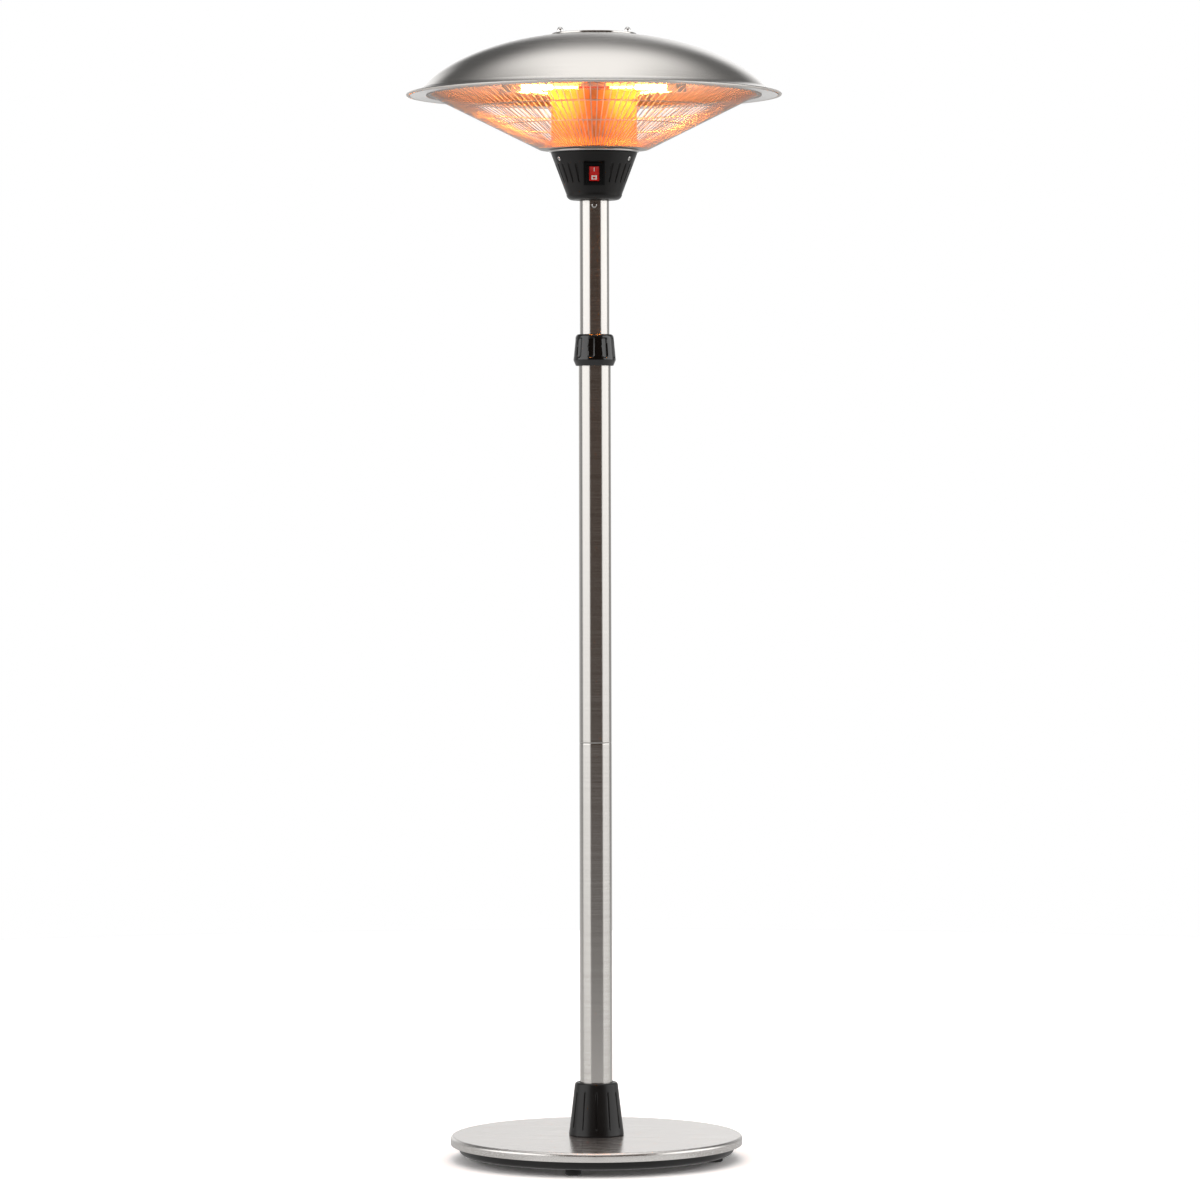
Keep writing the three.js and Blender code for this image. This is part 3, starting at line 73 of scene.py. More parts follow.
POLE_RADIUS = radius_of("lower_pole")
POLE_BORE = POLE_RADIUS - 0.8 * MM
MAST_RADIUS = radius_of("mast_tube")
MAST_BORE = MAST_RADIUS - 1.2 * MM
HOUSING_FOOT = foot_of("switch_housing")
HOUSING_TOP = top_of("switch_housing")
CONE_TOP_RADIUS = radius_of("switch_housing")
CONE_FOOT_RADIUS = MAST_RADIUS + 20 * MM
HOUSING_CORNER = 9 * MM
HOUSING_WALL = 3 * MM
CONE_FOOT = HOUSING_FOOT + HOUSING_CORNER
CONE_SLOPE = math.atan2(CONE_TOP_RADIUS - CONE_FOOT_RADIUS, HOUSING_TOP - CONE_FOOT)
SWITCH_HEIGHT = HOUSING_FOOT + 38 * MM
SCREW_HEIGHT = HOUSING_TOP - 11 * MM
SCREW_ANGLES = [math.radians(60), math.radians(180), math.radians(300)]


# ---------------------------------------------------------------- materials
def linear(code):
    """An sRGB hex colour as the linear RGBA that a shader reads."""
    channels = [int(code[i : i + 2], 16) / 255 for i in (1, 3, 5)]
    return [c / 12.92 if c <= 0.04045 else ((c + 0.055) / 1.055) ** 2.4 for c in channels] + [1]


def add(tree, kind, inputs=None, **settings):
    """Adds a node with its settings. An input is a value, or the output socket that feeds it."""
    node = tree.nodes.new(kind)
    for key, value in settings.items():
        setattr(node, key, value)
    for socket, value in (inputs or {}).items():
        if isinstance(value, bpy.types.NodeSocket):
            tree.links.new(value, node.inputs[socket])
        else:
            node.inputs[socket].default_value = value
    return node


def new_material(name, **shader):
    """A material and its Principled shader, with the shader's own sockets set."""
    material = bpy.data.materials.new(name)
    material.use_nodes = True
    bsdf = material.node_tree.nodes["Principled BSDF"]
    for socket, value in shader.items():
        bsdf.inputs[socket.replace("_", " ")].default_value = value
    return material, material.node_tree, bsdf


def round_the_axis(tree, spacing, run):
    """Coordinates for marks that run round the pole's axis: spacing apart, and about run long."""
    place = add(tree, "ShaderNodeTexCoord").outputs["Object"]
    parts = add(tree, "ShaderNodeSeparateXYZ", {0: place})
    flat = add(tree, "ShaderNodeCombineXYZ", {"X": parts.outputs["X"], "Y": parts.outputs["Y"]})
    radius = add(tree, "ShaderNodeVectorMath", {0: flat.outputs[0]}, operation="LENGTH")
    way = add(
        tree,
        "ShaderNodeMath",
        {0: radius.outputs["Value"], 1: parts.outputs["Z"]},
        operation="SUBTRACT",
    )
    spread = add(tree, "ShaderNodeVectorMath", {0: flat.outputs[0], "Scale": 1 / run}, operation="SCALE")
    across = add(tree, "ShaderNodeMath", {0: way.outputs[0], 1: 1 / spacing}, operation="MULTIPLY")
    lift = add(tree, "ShaderNodeCombineXYZ", {"Z": across.outputs[0]})
    return add(
        tree, "ShaderNodeVectorMath", {0: spread.outputs[0], 1: lift.outputs[0]}, operation="ADD"
    ).outputs[0]


def along_x(tree, spacing, run):
    """Coordinates for straight marks along X."""
    place = add(tree, "ShaderNodeTexCoord").outputs["Object"]
    scale = (1 / run, 1 / spacing, 1 / spacing)
    return add(tree, "ShaderNodeVectorMath", {0: place, 1: scale}, operation="MULTIPLY").outputs[0]


def grain(tree, bsdf, marks, light, dark, roughness, depth):
    """Grinding marks: they vary the metal's colour and roughness a little and raise a fine relief."""
    noise = add(tree, "ShaderNodeTexNoise", {"Vector": marks, "Scale": 1, "Detail": 5, "Roughness": 0.62})
    value = noise.outputs["Fac"]
    tint = add(
        tree,
        "ShaderNodeMix",
        {"Factor": value, "A": linear(dark), "B": linear(light)},
        data_type="RGBA",
    )
    tree.links.new(tint.outputs["Result"], bsdf.inputs["Base Color"])
    spread = add(
        tree,
        "ShaderNodeMapRange",
        {"Value": value, "From Min": 0.3, "From Max": 0.7, "To Min": roughness[0], "To Max": roughness[1]},
    )
    tree.links.new(spread.outputs[0], bsdf.inputs["Roughness"])
    relief = add(tree, "ShaderNodeBump", {"Height": value, "Distance": depth, "Strength": 0.35})
    tree.links.new(relief.outputs[0], bsdf.inputs["Normal"])


def brushed_stainless_turned():
    """Stainless sheet ground while it turns: fine rings round the axis stretch each highlight along it."""
    material, tree, bsdf = new_material("stainless_brushed_round", Metallic=1, Anisotropic=0.85)
    bsdf.inputs["Anisotropic Rotation"].default_value = 0.25
    tangent = add(tree, "ShaderNodeTangent", direction_type="RADIAL", axis="Z")
    tree.links.new(tangent.outputs[0], bsdf.inputs["Tangent"])
    marks = round_the_axis(tree, 1.6 * MM, 90 * MM)
    # Real grit leaves marks 0.1 mm apart. They are drawn at 1.6 mm, so that they show from across a room.
    grain(tree, bsdf, marks, "#D8D5D1", "#C8C4BF", (0.16, 0.24), 0.01 * MM)
    return material


def brushed_stainless_straight():
    """Stainless sheet ground in one direction, as it comes before it is pressed: the base cover."""
    material, tree, bsdf = new_material("stainless_brushed_straight", Metallic=1, Anisotropic=0.6)
    tangent = add(tree, "ShaderNodeCombineXYZ", {"Y": 1.0})
    tree.links.new(tangent.outputs[0], bsdf.inputs["Tangent"])
    grain(tree, bsdf, along_x(tree, 1.4 * MM, 120 * MM), "#DCD9D6", "#CFCBC7", (0.2, 0.3), 0.01 * MM)
    return material


def rolled_stainless(name, light, dark, roughness):
    """Rolled stainless that the lamps shine on: it spreads their glow into a soft sheen."""
    material, tree, bsdf = new_material(name, Metallic=1)
    grain(tree, bsdf, round_the_axis(tree, 3 * MM, 60 * MM), light, dark, roughness, 0.01 * MM)
    return material


def polished_stainless():
    """Buffed stainless, almost a mirror: the trim ring."""
    material, tree, bsdf = new_material("stainless_buffed", Metallic=1)
    grain(tree, bsdf, round_the_axis(tree, 2 * MM, 30 * MM), "#DEDBD7", "#CFCBC6", (0.1, 0.2), 0.01 * MM)
    return material


def chrome_plate(name, roughness):
    """Chrome plate on wire, screws and nuts: bright and slightly wavy from the drawn steel under it."""
    material, tree, bsdf = new_material(name, Metallic=1)
    place = add(tree, "ShaderNodeTexCoord").outputs["Object"]
    wave = add(tree, "ShaderNodeVectorMath", {0: place, "Scale": 1 / (4 * MM)}, operation="SCALE")
    grain(tree, bsdf, wave.outputs[0], "#DAD8D6", "#C3C1BF", roughness, 0.02 * MM)
    return material


def zinc_plate():
    """Zinc-plated steel of hidden brackets and bolts: pale grey with a dull spangle."""
    material, tree, bsdf = new_material("steel_zinc_plated", Metallic=1)
    place = add(tree, "ShaderNodeTexCoord").outputs["Object"]
    spangle = add(tree, "ShaderNodeTexVoronoi", {"Vector": place, "Scale": 1 / (3 * MM)})
    shade = add(
        tree,
        "ShaderNodeMix",
        {"Factor": spangle.outputs["Distance"], "A": linear("#CFD0D1"), "B": linear("#B8B9BB")},
        data_type="RGBA",
    )
    tree.links.new(shade.outputs["Result"], bsdf.inputs["Base Color"])
    spread = add(
        tree,
        "ShaderNodeMapRange",
        {"Value": spangle.outputs["Distance"], "To Min": 0.55, "To Max": 0.7},
    )
    tree.links.new(spread.outputs[0], bsdf.inputs["Roughness"])
    return material


def lit_up(material, code, strength):
    """Gives a material a faint glow of its own: a lamp behind the red lens, and a painted glow on the
    steatite ends.
    """
    sockets = material.node_tree.nodes["Principled BSDF"].inputs
    sockets["Emission Color"].default_value = linear(code)
    sockets["Emission Strength"].default_value = strength


def moulded(name, code, roughness, pit, depth, **shader):
    """Moulded plastic or rubber: one colour, with the fine pits of its mould."""
    material, tree, bsdf = new_material(name, **shader)
    place = add(tree, "ShaderNodeTexCoord").outputs["Object"]
    pits = add(tree, "ShaderNodeTexNoise", {"Vector": place, "Scale": 1 / pit, "Detail": 3})
    shade = add(
        tree,
        "ShaderNodeMix",
        {"Factor": 0.25, "A": linear(code)},
        data_type="RGBA",
        blend_type="MULTIPLY",
    )
    tone = add(tree, "ShaderNodeHueSaturation", {"Saturation": 0.0, "Color": pits.outputs["Color"]})
    tree.links.new(tone.outputs[0], shade.inputs["B"])
    tree.links.new(shade.outputs["Result"], bsdf.inputs["Base Color"])
    spread = add(
        tree,
        "ShaderNodeMapRange",
        {"Value": pits.outputs["Fac"], "To Min": roughness - 0.05, "To Max": roughness + 0.07},
    )
    tree.links.new(spread.outputs[0], bsdf.inputs["Roughness"])
    relief = add(tree, "ShaderNodeBump", {"Height": pits.outputs["Fac"], "Distance": depth, "Strength": 0.5})
    tree.links.new(relief.outputs[0], bsdf.inputs["Normal"])
    return material


def glowing(name, code, strength, spacing):
    """A heated tungsten coil in its quartz tube: the turns of the coil show as a fine ripple of light."""
    material, tree, bsdf = new_material(name, Roughness=0.15)
    bsdf.inputs["Base Color"].default_value = linear("#3A2A20")
    bsdf.inputs["Emission Color"].default_value = linear(code)
    place = add(tree, "ShaderNodeTexCoord").outputs["Object"]
    turns = add(tree, "ShaderNodeTexNoise", {"Vector": place, "Scale": 1 / spacing, "Detail": 1})
    ripple = add(
        tree,
        "ShaderNodeMapRange",
        {"Value": turns.outputs["Fac"], "To Min": 0.8 * strength, "To Max": 1.2 * strength},
    )
    tree.links.new(ripple.outputs[0], bsdf.inputs["Emission Strength"])
    return material


stainless_round = brushed_stainless_turned()
stainless_straight = brushed_stainless_straight()
# The plate over the lamps, and the hood's inside: bare, and dull from the press and from heat.
stainless_rolled = rolled_stainless("stainless_rolled", "#F0ECE8", "#E2DDD8", (0.58, 0.7))
# The drum stands close to the lamps; its straw tint is a painted warm reflection of their glow.
stainless_straw = rolled_stainless("stainless_straw_painted_glow", "#C8A070", "#BB8F5E", (0.66, 0.8))
stainless_buffed = polished_stainless()
chrome = chrome_plate("chrome_plate", (0.12, 0.24))
# The guard's wires have a satin skin, so each carries the lamps' glow along its length.
wire_satin = chrome_plate("wire_plated_satin", (0.42, 0.55))
zinc = zinc_plate()
# Moulded polypropylene with a spark-eroded skin: black, and satin where it catches light.
satin_black = moulded(
    "polypropylene_black", "#12100F", 0.34, 0.8 * MM, 0.02 * MM, Specular_IOR_Level=0.38
)
# Moulded nylon from a polished mould: black, with clear reflections.
gloss_black = moulded("nylon_black_gloss", "#070606", 0.15, 6 * MM, 0.01 * MM, Specular_IOR_Level=0.7)
# The same nylon with a fine dull skin: the switch's frame.
dull_black = moulded("nylon_black_dull", "#050505", 0.3, 0.6 * MM, 0.01 * MM, Specular_IOR_Level=0.15)
# Natural rubber of the feet and grommet: black and dull.
rubber = moulded("rubber_black", "#141414", 0.75, 0.6 * MM, 0.05 * MM)
# Natural nylon of the bushes, terminal block and tip switch.
white_nylon = moulded("nylon_natural", "#D8D4C8", 0.45, 1 * MM, 0.02 * MM)
# Cement cast in the tray.
cement = moulded("cement_cast", "#8D8A85", 0.85, 2 * MM, 0.2 * MM)
# Steatite lamp ends: white and unglazed.
ceramic = moulded("steatite_white", "#E4DFD4", 0.55, 0.7 * MM, 0.03 * MM)
# The ends glow a little: painted light, standing in for the lamps' glow falling on them.
lit_up(ceramic, "#FFB070", 0.35)
# Clear red polycarbonate, lit from behind while the heater is on.
red_lens = moulded("polycarbonate_red", "#C8140F", 0.22, 4 * MM, 0.01 * MM)
lit_up(red_lens, "#E01008", 0.12)
# White pad-printed ink.
white_ink = moulded("ink_white", "#F4EFEA", 0.5, 0.5 * MM, 0.005 * MM)
# Frosted quartz, lit through by the coil, and the coil itself: both white-hot to the eye.
quartz_lit = glowing("quartz_frosted_lit", "#FF8C2C", 240, 2 * MM)
# The coil's thick middle turns, which stay at a dull red heat.
coil_dim = glowing("coil_dull_red", "#C82A08", 0.9, 2 * MM)
# Clear fused quartz: nearly unseen, but for its sheen.
quartz_clear = moulded("quartz_clear", "#F4F6F8", 0.06, 10 * MM, 0.005 * MM, Alpha=0.18)

FINISHES = {
    "brushed_stainless": stainless_round,
    "polished_stainless": stainless_rolled,
    "chrome_fixings": chrome,
    "zinc_steel": zinc,
    "black_plastic": satin_black,
    "gloss_black_plastic": gloss_black,
    "white_nylon": white_nylon,
    "foot_rubber": rubber,
    "cement": cement,
    "lamp_ceramic": ceramic,
    "lamp_quartz": quartz_lit,
    "rocker_red": red_lens,
}


# ---------------------------------------------------------------- shaping
def mesh_of(bm):
    """Shades the faces smooth, keeps the creases, and returns the mesh."""
    bmesh.ops.remove_doubles(bm, verts=bm.verts, dist=1e-6)
    bmesh.ops.recalc_face_normals(bm, faces=bm.faces)
    mesh = bpy.data.meshes.new("shape")
    bm.to_mesh(mesh)
    bm.free()
    mesh.shade_smooth()
    mesh.set_sharp_from_angle(angle=CREASE)
    return mesh


def add_piece(name, bm, body, slot, nodes=(), materials=None):
    """Puts a finished shape into the scene: what it rides on, what it stands for and its finish."""
    piece = bpy.data.objects.new(name, mesh_of(bm))
    piece.data.name = name
    for material in materials or [FINISHES[slot]]:
        piece.data.materials.append(material)
    bpy.context.scene.collection.objects.link(piece)
    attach(piece, body)
    if nodes:
        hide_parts(*nodes)
    return piece


def arc(centre, width, height, start, end, steps):
    """Points of an elliptical arc, angles in degrees, both ends included."""
    angles = [math.radians(start + (end - start) * i / steps) for i in range(steps + 1)]
    return [(centre[0] + width * math.cos(a), centre[1] + height * math.sin(a)) for a in angles]


def straight(start, end, steps):
    """Points along a straight line, both ends included."""
    a, b = Vector(start), Vector(end)
    return [tuple(a.lerp(b, i / steps)) for i in range(steps + 1)]


LONG_RUN = 60 * MM  # straight runs longer than this are held flat
HOLD = 2 * MM  # how far from its ends


def held_flat(outline):
    """Adds a point near each end of a long straight run, so the run's shading stays flat to its ends."""
    points = []
    for start, end in zip(outline, outline[1:] + outline[:1]):
        start, end = Vector(start), Vector(end)
        run = (end - start).length
        points.append(start)
        if run > LONG_RUN:
            points += [start.lerp(end, HOLD / run), end.lerp(start, HOLD / run)]
    return points


def turned(outline, steps=ROUND_STEPS):
    """A closed outline of [radius, height] points spun once round the Z axis."""
    bm = bmesh.new()
    ring = [bm.verts.new((radius, 0, height)) for radius, height in held_flat(outline)]
    edges = [bm.edges.new(pair) for pair in zip(ring, ring[1:] + ring[:1])]
    bmesh.ops.spin(
        bm,
        geom=ring + edges,
        cent=(0, 0, 0),
        axis=(0, 0, 1),
        angle=FULL_TURN,
        steps=steps,
        use_merge=True,
    )
    bmesh.ops.remove_doubles(bm, verts=bm.verts, dist=1e-6)
    bmesh.ops.recalc_face_normals(bm, faces=bm.faces)
    return bm


def rounded(bm, radius, segments=2, least=math.radians(40)):
    """Rounds every edge that is sharper than least."""
    edges = [edge for edge in bm.edges if edge.is_manifold and edge.calc_face_angle(0) > least]
    bmesh.ops.bevel(
        bm,
        geom=edges,
        offset=radius,
        offset_type="OFFSET",
        affect="EDGES",
        segments=segments,
        profile=0.5,
        material=-1,
        clamp_overlap=True,
    )
    return bm


def pipe(outer, inner, foot, top, steps=TUBE_STEPS, edge=0.25 * MM):
    outline = [(outer, foot), (outer, top), (inner, top), (inner, foot)]
    return rounded(turned(outline, steps), edge)


def bar(radius, foot, top, steps=SMALL_STEPS):
    """A plain round bar on the Z axis."""
    bm = bmesh.new()
    bmesh.ops.create_cone(
        bm, cap_ends=True, segments=steps, radius1=radius, radius2=radius, depth=top - foot
    )
    bmesh.ops.translate(bm, verts=bm.verts, vec=(0, 0, (foot + top) / 2))
    return bm


def box(width, depth, height, centre=(0, 0, 0)):
    bm = bmesh.new()
    bmesh.ops.create_cube(bm, size=1)
    bmesh.ops.scale(bm, verts=bm.verts, vec=(width, depth, height))
    bmesh.ops.translate(bm, verts=bm.verts, vec=centre)
    return bm


def placed(bm, *matrices):
    """Moves a shape by each matrix in turn."""
    for matrix in matrices:
        bmesh.ops.transform(bm, matrix=matrix, verts=bm.verts)
    return bm


def joined(*shapes):
    """Several shapes in one mesh, side by side."""
    whole = shapes[0]
    for shape in shapes[1:]:
        mesh = bpy.data.meshes.new("part")
        shape.to_mesh(mesh)
        shape.free()
        whole.from_mesh(mesh)
        bpy.data.meshes.remove(mesh)
    return whole


def worked(bm, tools, operation="DIFFERENCE"):
    """Cuts the tools out of a shape, or welds them on, with exact booleans."""
    bodies = []
    for shape in [bm, *tools]:
        bmesh.ops.recalc_face_normals(shape, faces=shape.faces)
        mesh = bpy.data.meshes.new("blank")
        shape.to_mesh(mesh)
        shape.free()
        blank = bpy.data.objects.new("blank", mesh)
        bpy.context.scene.collection.objects.link(blank)
        bodies.append(blank)
    for tool in bodies[1:]:
        step = bodies[0].modifiers.new("cut", "BOOLEAN")
        step.operation = operation
        step.solver = "EXACT"
        step.object = tool
    result = bodies[0].evaluated_get(bpy.context.evaluated_depsgraph_get())
    left = bmesh.new()
    left.from_mesh(result.data)
    for blank in bodies:
        mesh = blank.data
        bpy.data.objects.remove(blank)
        bpy.data.meshes.remove(mesh)
    return left


def about_z(angle):
    return Matrix.Rotation(angle, 4, "Z")


def on_cone(radius, height, slope, angle=0.0):
    """The place of a shape that is drawn along +Z, on a cone's front, then turned round the axis."""
    tilt = Matrix.Rotation(math.pi / 2 + slope, 4, "X")
    return about_z(angle) @ Matrix.Translation((0, -radius, height)) @ tilt


def bearing(co):
    """A point's angle round the axis, from the front towards +X."""
    return math.atan2(co.x, -co.y)


def apart(angle, other):
    """The turn from one angle to another, the short way round."""
    return (angle - other + math.pi) % FULL_TURN - math.pi


def pressed(bm, depth_at, on_surface, slope):
    """Presses marks into a turned wall: a vertex on the surface moves inwards, square to the wall."""
    for vert in bm.verts:
        radius = math.hypot(vert.co.x, vert.co.y)
        if radius == 0 or not on_surface(radius, vert.co.z):
            continue
        depth = depth_at(bearing(vert.co), radius, vert.co.z)
        if depth > 0:
            inwards = -math.cos(slope) * depth / radius
            vert.co += Vector((vert.co.x * inwards, vert.co.y * inwards, math.sin(slope) * depth))
    return bm


def ease(value):
    """0 to 1 with soft ends."""
    value = min(1.0, max(0.0, value))
    return value * value * (3 - 2 * value)


def softened(node, body, slot, radius=0.4 * MM, crease=math.radians(50), finish=()):
    """A bench-made piece: the node's own shape, with its sharp edges broken."""
    bm = bmesh.new()
    bm.from_mesh(frame["nodes"][node].data)
    bmesh.ops.remove_doubles(bm, verts=bm.verts, dist=1e-6)
    bmesh.ops.dissolve_limit(bm, angle_limit=math.radians(1), verts=bm.verts, edges=bm.edges)
    return add_piece(node + "_finished", rounded(bm, radius, 2, crease), body, slot, [node], finish)


# ---------------------------------------------------------------- base
def build_base():
    for index in range(1, 5):
        node = f"foot_{index}"
        low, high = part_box(node)
        centre = (low + high) / 2
        radius = 12.5 * MM
        outline = [
            (0, 0),
            (radius - 2 * MM, 0),
            (radius, 2 * MM),
            (radius - 0.6 * MM, 10 * MM),
            (4 * MM, 10 * MM),
            (4 * MM, high.z),
            (0, high.z),
        ]
        foot = rounded(turned(outline, SMALL_STEPS), 0.5 * MM)
        placed(foot, Matrix.Translation((centre.x, centre.y, 0)))
        add_piece(f"rubber_foot_{index}", foot, "stand", "foot_rubber", [node])
    tray_foot, tray_top = foot_of("base_tray"), top_of("base_tray")
    radius, wall = radius_of("base_tray"), 2.5 * MM
    outline = [
        (0, tray_foot),
        *arc((radius - 7 * MM, tray_foot + 6 * MM), 7 * MM, 6 * MM, -90, 0, 8),
        (radius, tray_top),
        (radius - wall, tray_top),
        *arc((radius - 7 * MM, tray_foot + 6 * MM), 7 * MM - wall, 6 * MM - wall, 0, -90, 6),
        (0, tray_foot + wall),
    ]
    add_piece("tray", turned(outline), "stand", "black_plastic", ["base_tray"])
    cover_top, cover_foot, radius = top_of("base_cover"), foot_of("base_cover"), radius_of("base_cover")
    wall, corner = 1.2 * MM, 5 * MM
    middle = (radius - corner, cover_top - corner)
    outline = [
        (0, cover_top - wall),
        (radius * 0.6, cover_top - wall),
        *arc(middle, corner - wall, corner - wall, 90, 0, 8),
        (radius - wall, cover_foot + wall / 2),
        *arc((radius - wall / 2, cover_foot + wall / 2), wall / 2, wall / 2, 180, 360, 6),
        *arc(middle, corner, corner, 0, 90, 12),
        (radius * 0.6, cover_top),
        (radius * 0.2, cover_top),
        (0, cover_top),
    ]
    add_piece(
        "cover", turned(outline), "stand", "brushed_stainless", ["base_cover"], [stainless_straight]
    )


# ---------------------------------------------------------------- collar round the pole's foot
COLLAR_GROOVES = 12
GROMMET_HEIGHT = (foot_of("cable_grommet") + top_of("cable_grommet")) / 2


def build_collar():
    foot, top = foot_of("base_collar"), top_of("base_collar")
    foot_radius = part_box("base_collar")[1].x
    top_radius = POLE_RADIUS + 7.8 * MM
    wall, edge, mouth = 3 * MM, 1.5 * MM, POLE_RADIUS + 1.5 * MM
    slope = math.atan2(foot_radius - top_radius, top - foot)

    def radius_at(z):
        return top_radius + (top - z) * math.tan(slope)

    outline = [
        (foot_radius - edge, foot),
        *arc((foot_radius - edge, foot + edge), edge, edge, -90, 0, 4),
        *straight((radius_at(foot + 3 * MM), foot + 3 * MM), (radius_at(top - 3 * MM), top - 3 * MM), 44),
        *arc((top_radius - 2 * edge, top - 2 * edge), 2 * edge, 2 * edge, 0, 90, 6),
        (mouth, top),
        (mouth, top - wall),
        (radius_at(top) - wall, top - wall),
        (foot_radius - wall, foot),
    ]
    groove_foot, groove_top, half_width, depth = foot + 11 * MM, top - 13 * MM, 1.5 * MM, 1.4 * MM

    def groove(angle, radius, z):
        pitch = FULL_TURN / COLLAR_GROOVES
        nearest = round(angle / pitch)
        if nearest % COLLAR_GROOVES == COLLAR_GROOVES // 2:
            return 0
        sideways = abs(angle - nearest * pitch) * radius
        beyond = max(groove_foot + half_width - z, z - groove_top + half_width, 0)
        reach = math.hypot(sideways, beyond)
        return depth * ease((half_width - reach) / (0.8 * MM))

    bm = turned(outline, COLLAR_GROOVES * 30)
    pressed(bm, groove, lambda radius, z: abs(radius - radius_at(z)) < 0.05 * MM, -slope)
    outer = radius_at(GROMMET_HEIGHT) + edge
    inner = outer - wall - 2 * edge
    lie_back = Matrix.Rotation(-math.pi / 2, 4, "X")
    lift = Matrix.Translation((0, 0, GROMMET_HEIGHT))
    boss = placed(rounded(bar(10.5 * MM, inner, outer), 0.8 * MM), lie_back, lift)
    inlet = placed(bar(6.3 * MM, 0, 2 * outer), lie_back, lift)
    bm = worked(worked(bm, [boss], "UNION"), [inlet])
    add_piece("collar", bm, "stand", "black_plastic", ["base_collar"])
    neck, flange, bore, lip, gap = 6 * MM, 9 * MM, 4 * MM, 2 * MM, 0.3 * MM
    outline = [
        (flange, inner - gap - lip),
        (flange, inner - gap),
        (neck, inner - gap),
        (neck, outer + gap),
        (flange, outer + gap),
        (flange, outer + gap + lip),
        (bore, outer + gap + lip),
        (bore, inner - gap - lip),
    ]
    grommet = placed(rounded(turned(outline, SMALL_STEPS), 0.6 * MM), lie_back, lift)
    add_piece("grommet", grommet, "stand", "foot_rubber", ["cable_grommet"])


# ---------------------------------------------------------------- poles
def build_poles():
    seam_edge = 0.5 * MM
    lower = pipe(POLE_RADIUS, POLE_BORE, foot_of("lower_pole"), top_of("lower_pole"), edge=seam_edge)
    cable_hole = placed(
        bar(6 * MM, 0, POLE_RADIUS + MM),
        Matrix.Rotation(-math.pi / 2, 4, "X"),
        Matrix.Translation((0, 0, GROMMET_HEIGHT)),
    )
    lower = worked(lower, [cable_hole])
    add_piece("pole_lower", lower, "stand", "brushed_stainless", ["lower_pole"])
    upper = pipe(POLE_RADIUS, POLE_BORE, foot_of("upper_pole"), top_of("upper_pole"), edge=seam_edge)
    add_piece("pole_upper", upper, "stand", "brushed_stainless", ["upper_pole"])
    tube = pipe(MAST_RADIUS, MAST_BORE, foot_of("mast_tube"), top_of("mast_tube"))
    add_piece("tube", tube, "mast", "brushed_stainless", ["mast_tube"])


# ---------------------------------------------------------------- lock nut
NUT_FLUTES = 9
NUT_FLUTE_TURN = math.radians(-9)


def build_nut():
    foot, top = foot_of("lock_nut"), top_of("lock_nut")
    bore = POLE_RADIUS + 2.5 * MM
    waist_radius, waist = bore + 5.4 * MM, foot + 9 * MM
    shoulder_radius, shoulder = bore + 2.2 * MM, top - 6.4 * MM
    mouth, lip = MAST_RADIUS + 0.9 * MM, top - 4.5 * MM
    slope = math.atan2(waist_radius - shoulder_radius, shoulder - waist)

    def radius_at(z):
        return waist_radius - (z - waist) * math.tan(slope)

    bevel = 1.2 * MM
    outline = [
        (bore + 1.6 * MM, foot),
        *straight((bore + 2.0 * MM, foot + 0.8 * MM), (waist_radius - 0.5 * MM, waist - bevel), 8),
        *straight((waist_radius, waist), (shoulder_radius, shoulder), 52),
        *arc((shoulder_radius - 4.4 * MM, shoulder), 4.4 * MM, 6.4 * MM, 0, 90, 10)[1:],
        (mouth + 0.4 * MM, top),
        (mouth, top - 0.4 * MM),
        (mouth, lip),
        (bore - 0.6 * MM, lip),
        (bore, foot + 27.4 * MM),
        (bore, foot + 0.6 * MM),
        (bore + 0.6 * MM, foot),
    ]
    half_width, length, depth = 5 * MM, 32.6 * MM, 1.9 * MM
    middle = foot + 12 * MM + 16 * MM

    def flute(angle, radius, z):
        pitch = FULL_TURN / NUT_FLUTES
        off = apart(angle, NUT_FLUTE_TURN)
        sideways = (off - round(off / pitch) * pitch) * radius
        beyond = max(0, abs(z - middle) - (length / 2 - half_width))
        reach = math.hypot(sideways, beyond) / half_width
        return depth * math.sqrt(max(0, 1 - reach**2)) ** 0.7 if reach < 1 else 0

    bm = turned(outline, NUT_FLUTES * 34)
    pressed(bm, flute, lambda radius, z: abs(radius - radius_at(z)) < 0.02 * MM and z >= waist, -slope)
    add_piece("nut", bm, "lock_nut", "gloss_black_plastic", ["lock_nut"])


# ---------------------------------------------------------------- screws
def cross_screw(shank, length, head, height, steps=SMALL_STEPS):
    """A pan-head screw with a cross recess, its head standing on the XY plane."""
    outline = [
        (0, -length),
        (shank * 0.6, -length),
        (shank, -length + shank),
        (shank, 0),
        (head, 0),
        *arc((0, height * 0.35), head, height * 0.65, 0, 90, 6),
    ]
    slots = [
        box(1.5 * head, 0.28 * head, height, (0, 0, 1.05 * height)),
        box(0.28 * head, 1.5 * head, height, (0, 0, 1.05 * height)),
    ]
    return worked(turned(outline, steps), slots)


# ---------------------------------------------------------------- switch housing
FLUTES = 24
FIRST_FLUTE = math.radians(28)
SWITCH_PLACE = on_cone(
    CONE_FOOT_RADIUS + (SWITCH_HEIGHT - CONE_FOOT) * math.tan(CONE_SLOPE), SWITCH_HEIGHT, CONE_SLOPE
)
BEZEL_WIDTH, BEZEL_LENGTH, BEZEL_RIM = 33 * MM, 37 * MM, 4 * MM
OPENING_WIDTH = BEZEL_WIDTH - 2 * BEZEL_RIM
OPENING_LENGTH = BEZEL_LENGTH - 2 * BEZEL_RIM
BEZEL_FOOT, BEZEL_TOP = 1.1 * MM, 3.1 * MM


def cone_radius_at(z):
    return CONE_FOOT_RADIUS + (z - CONE_FOOT) * math.tan(CONE_SLOPE)


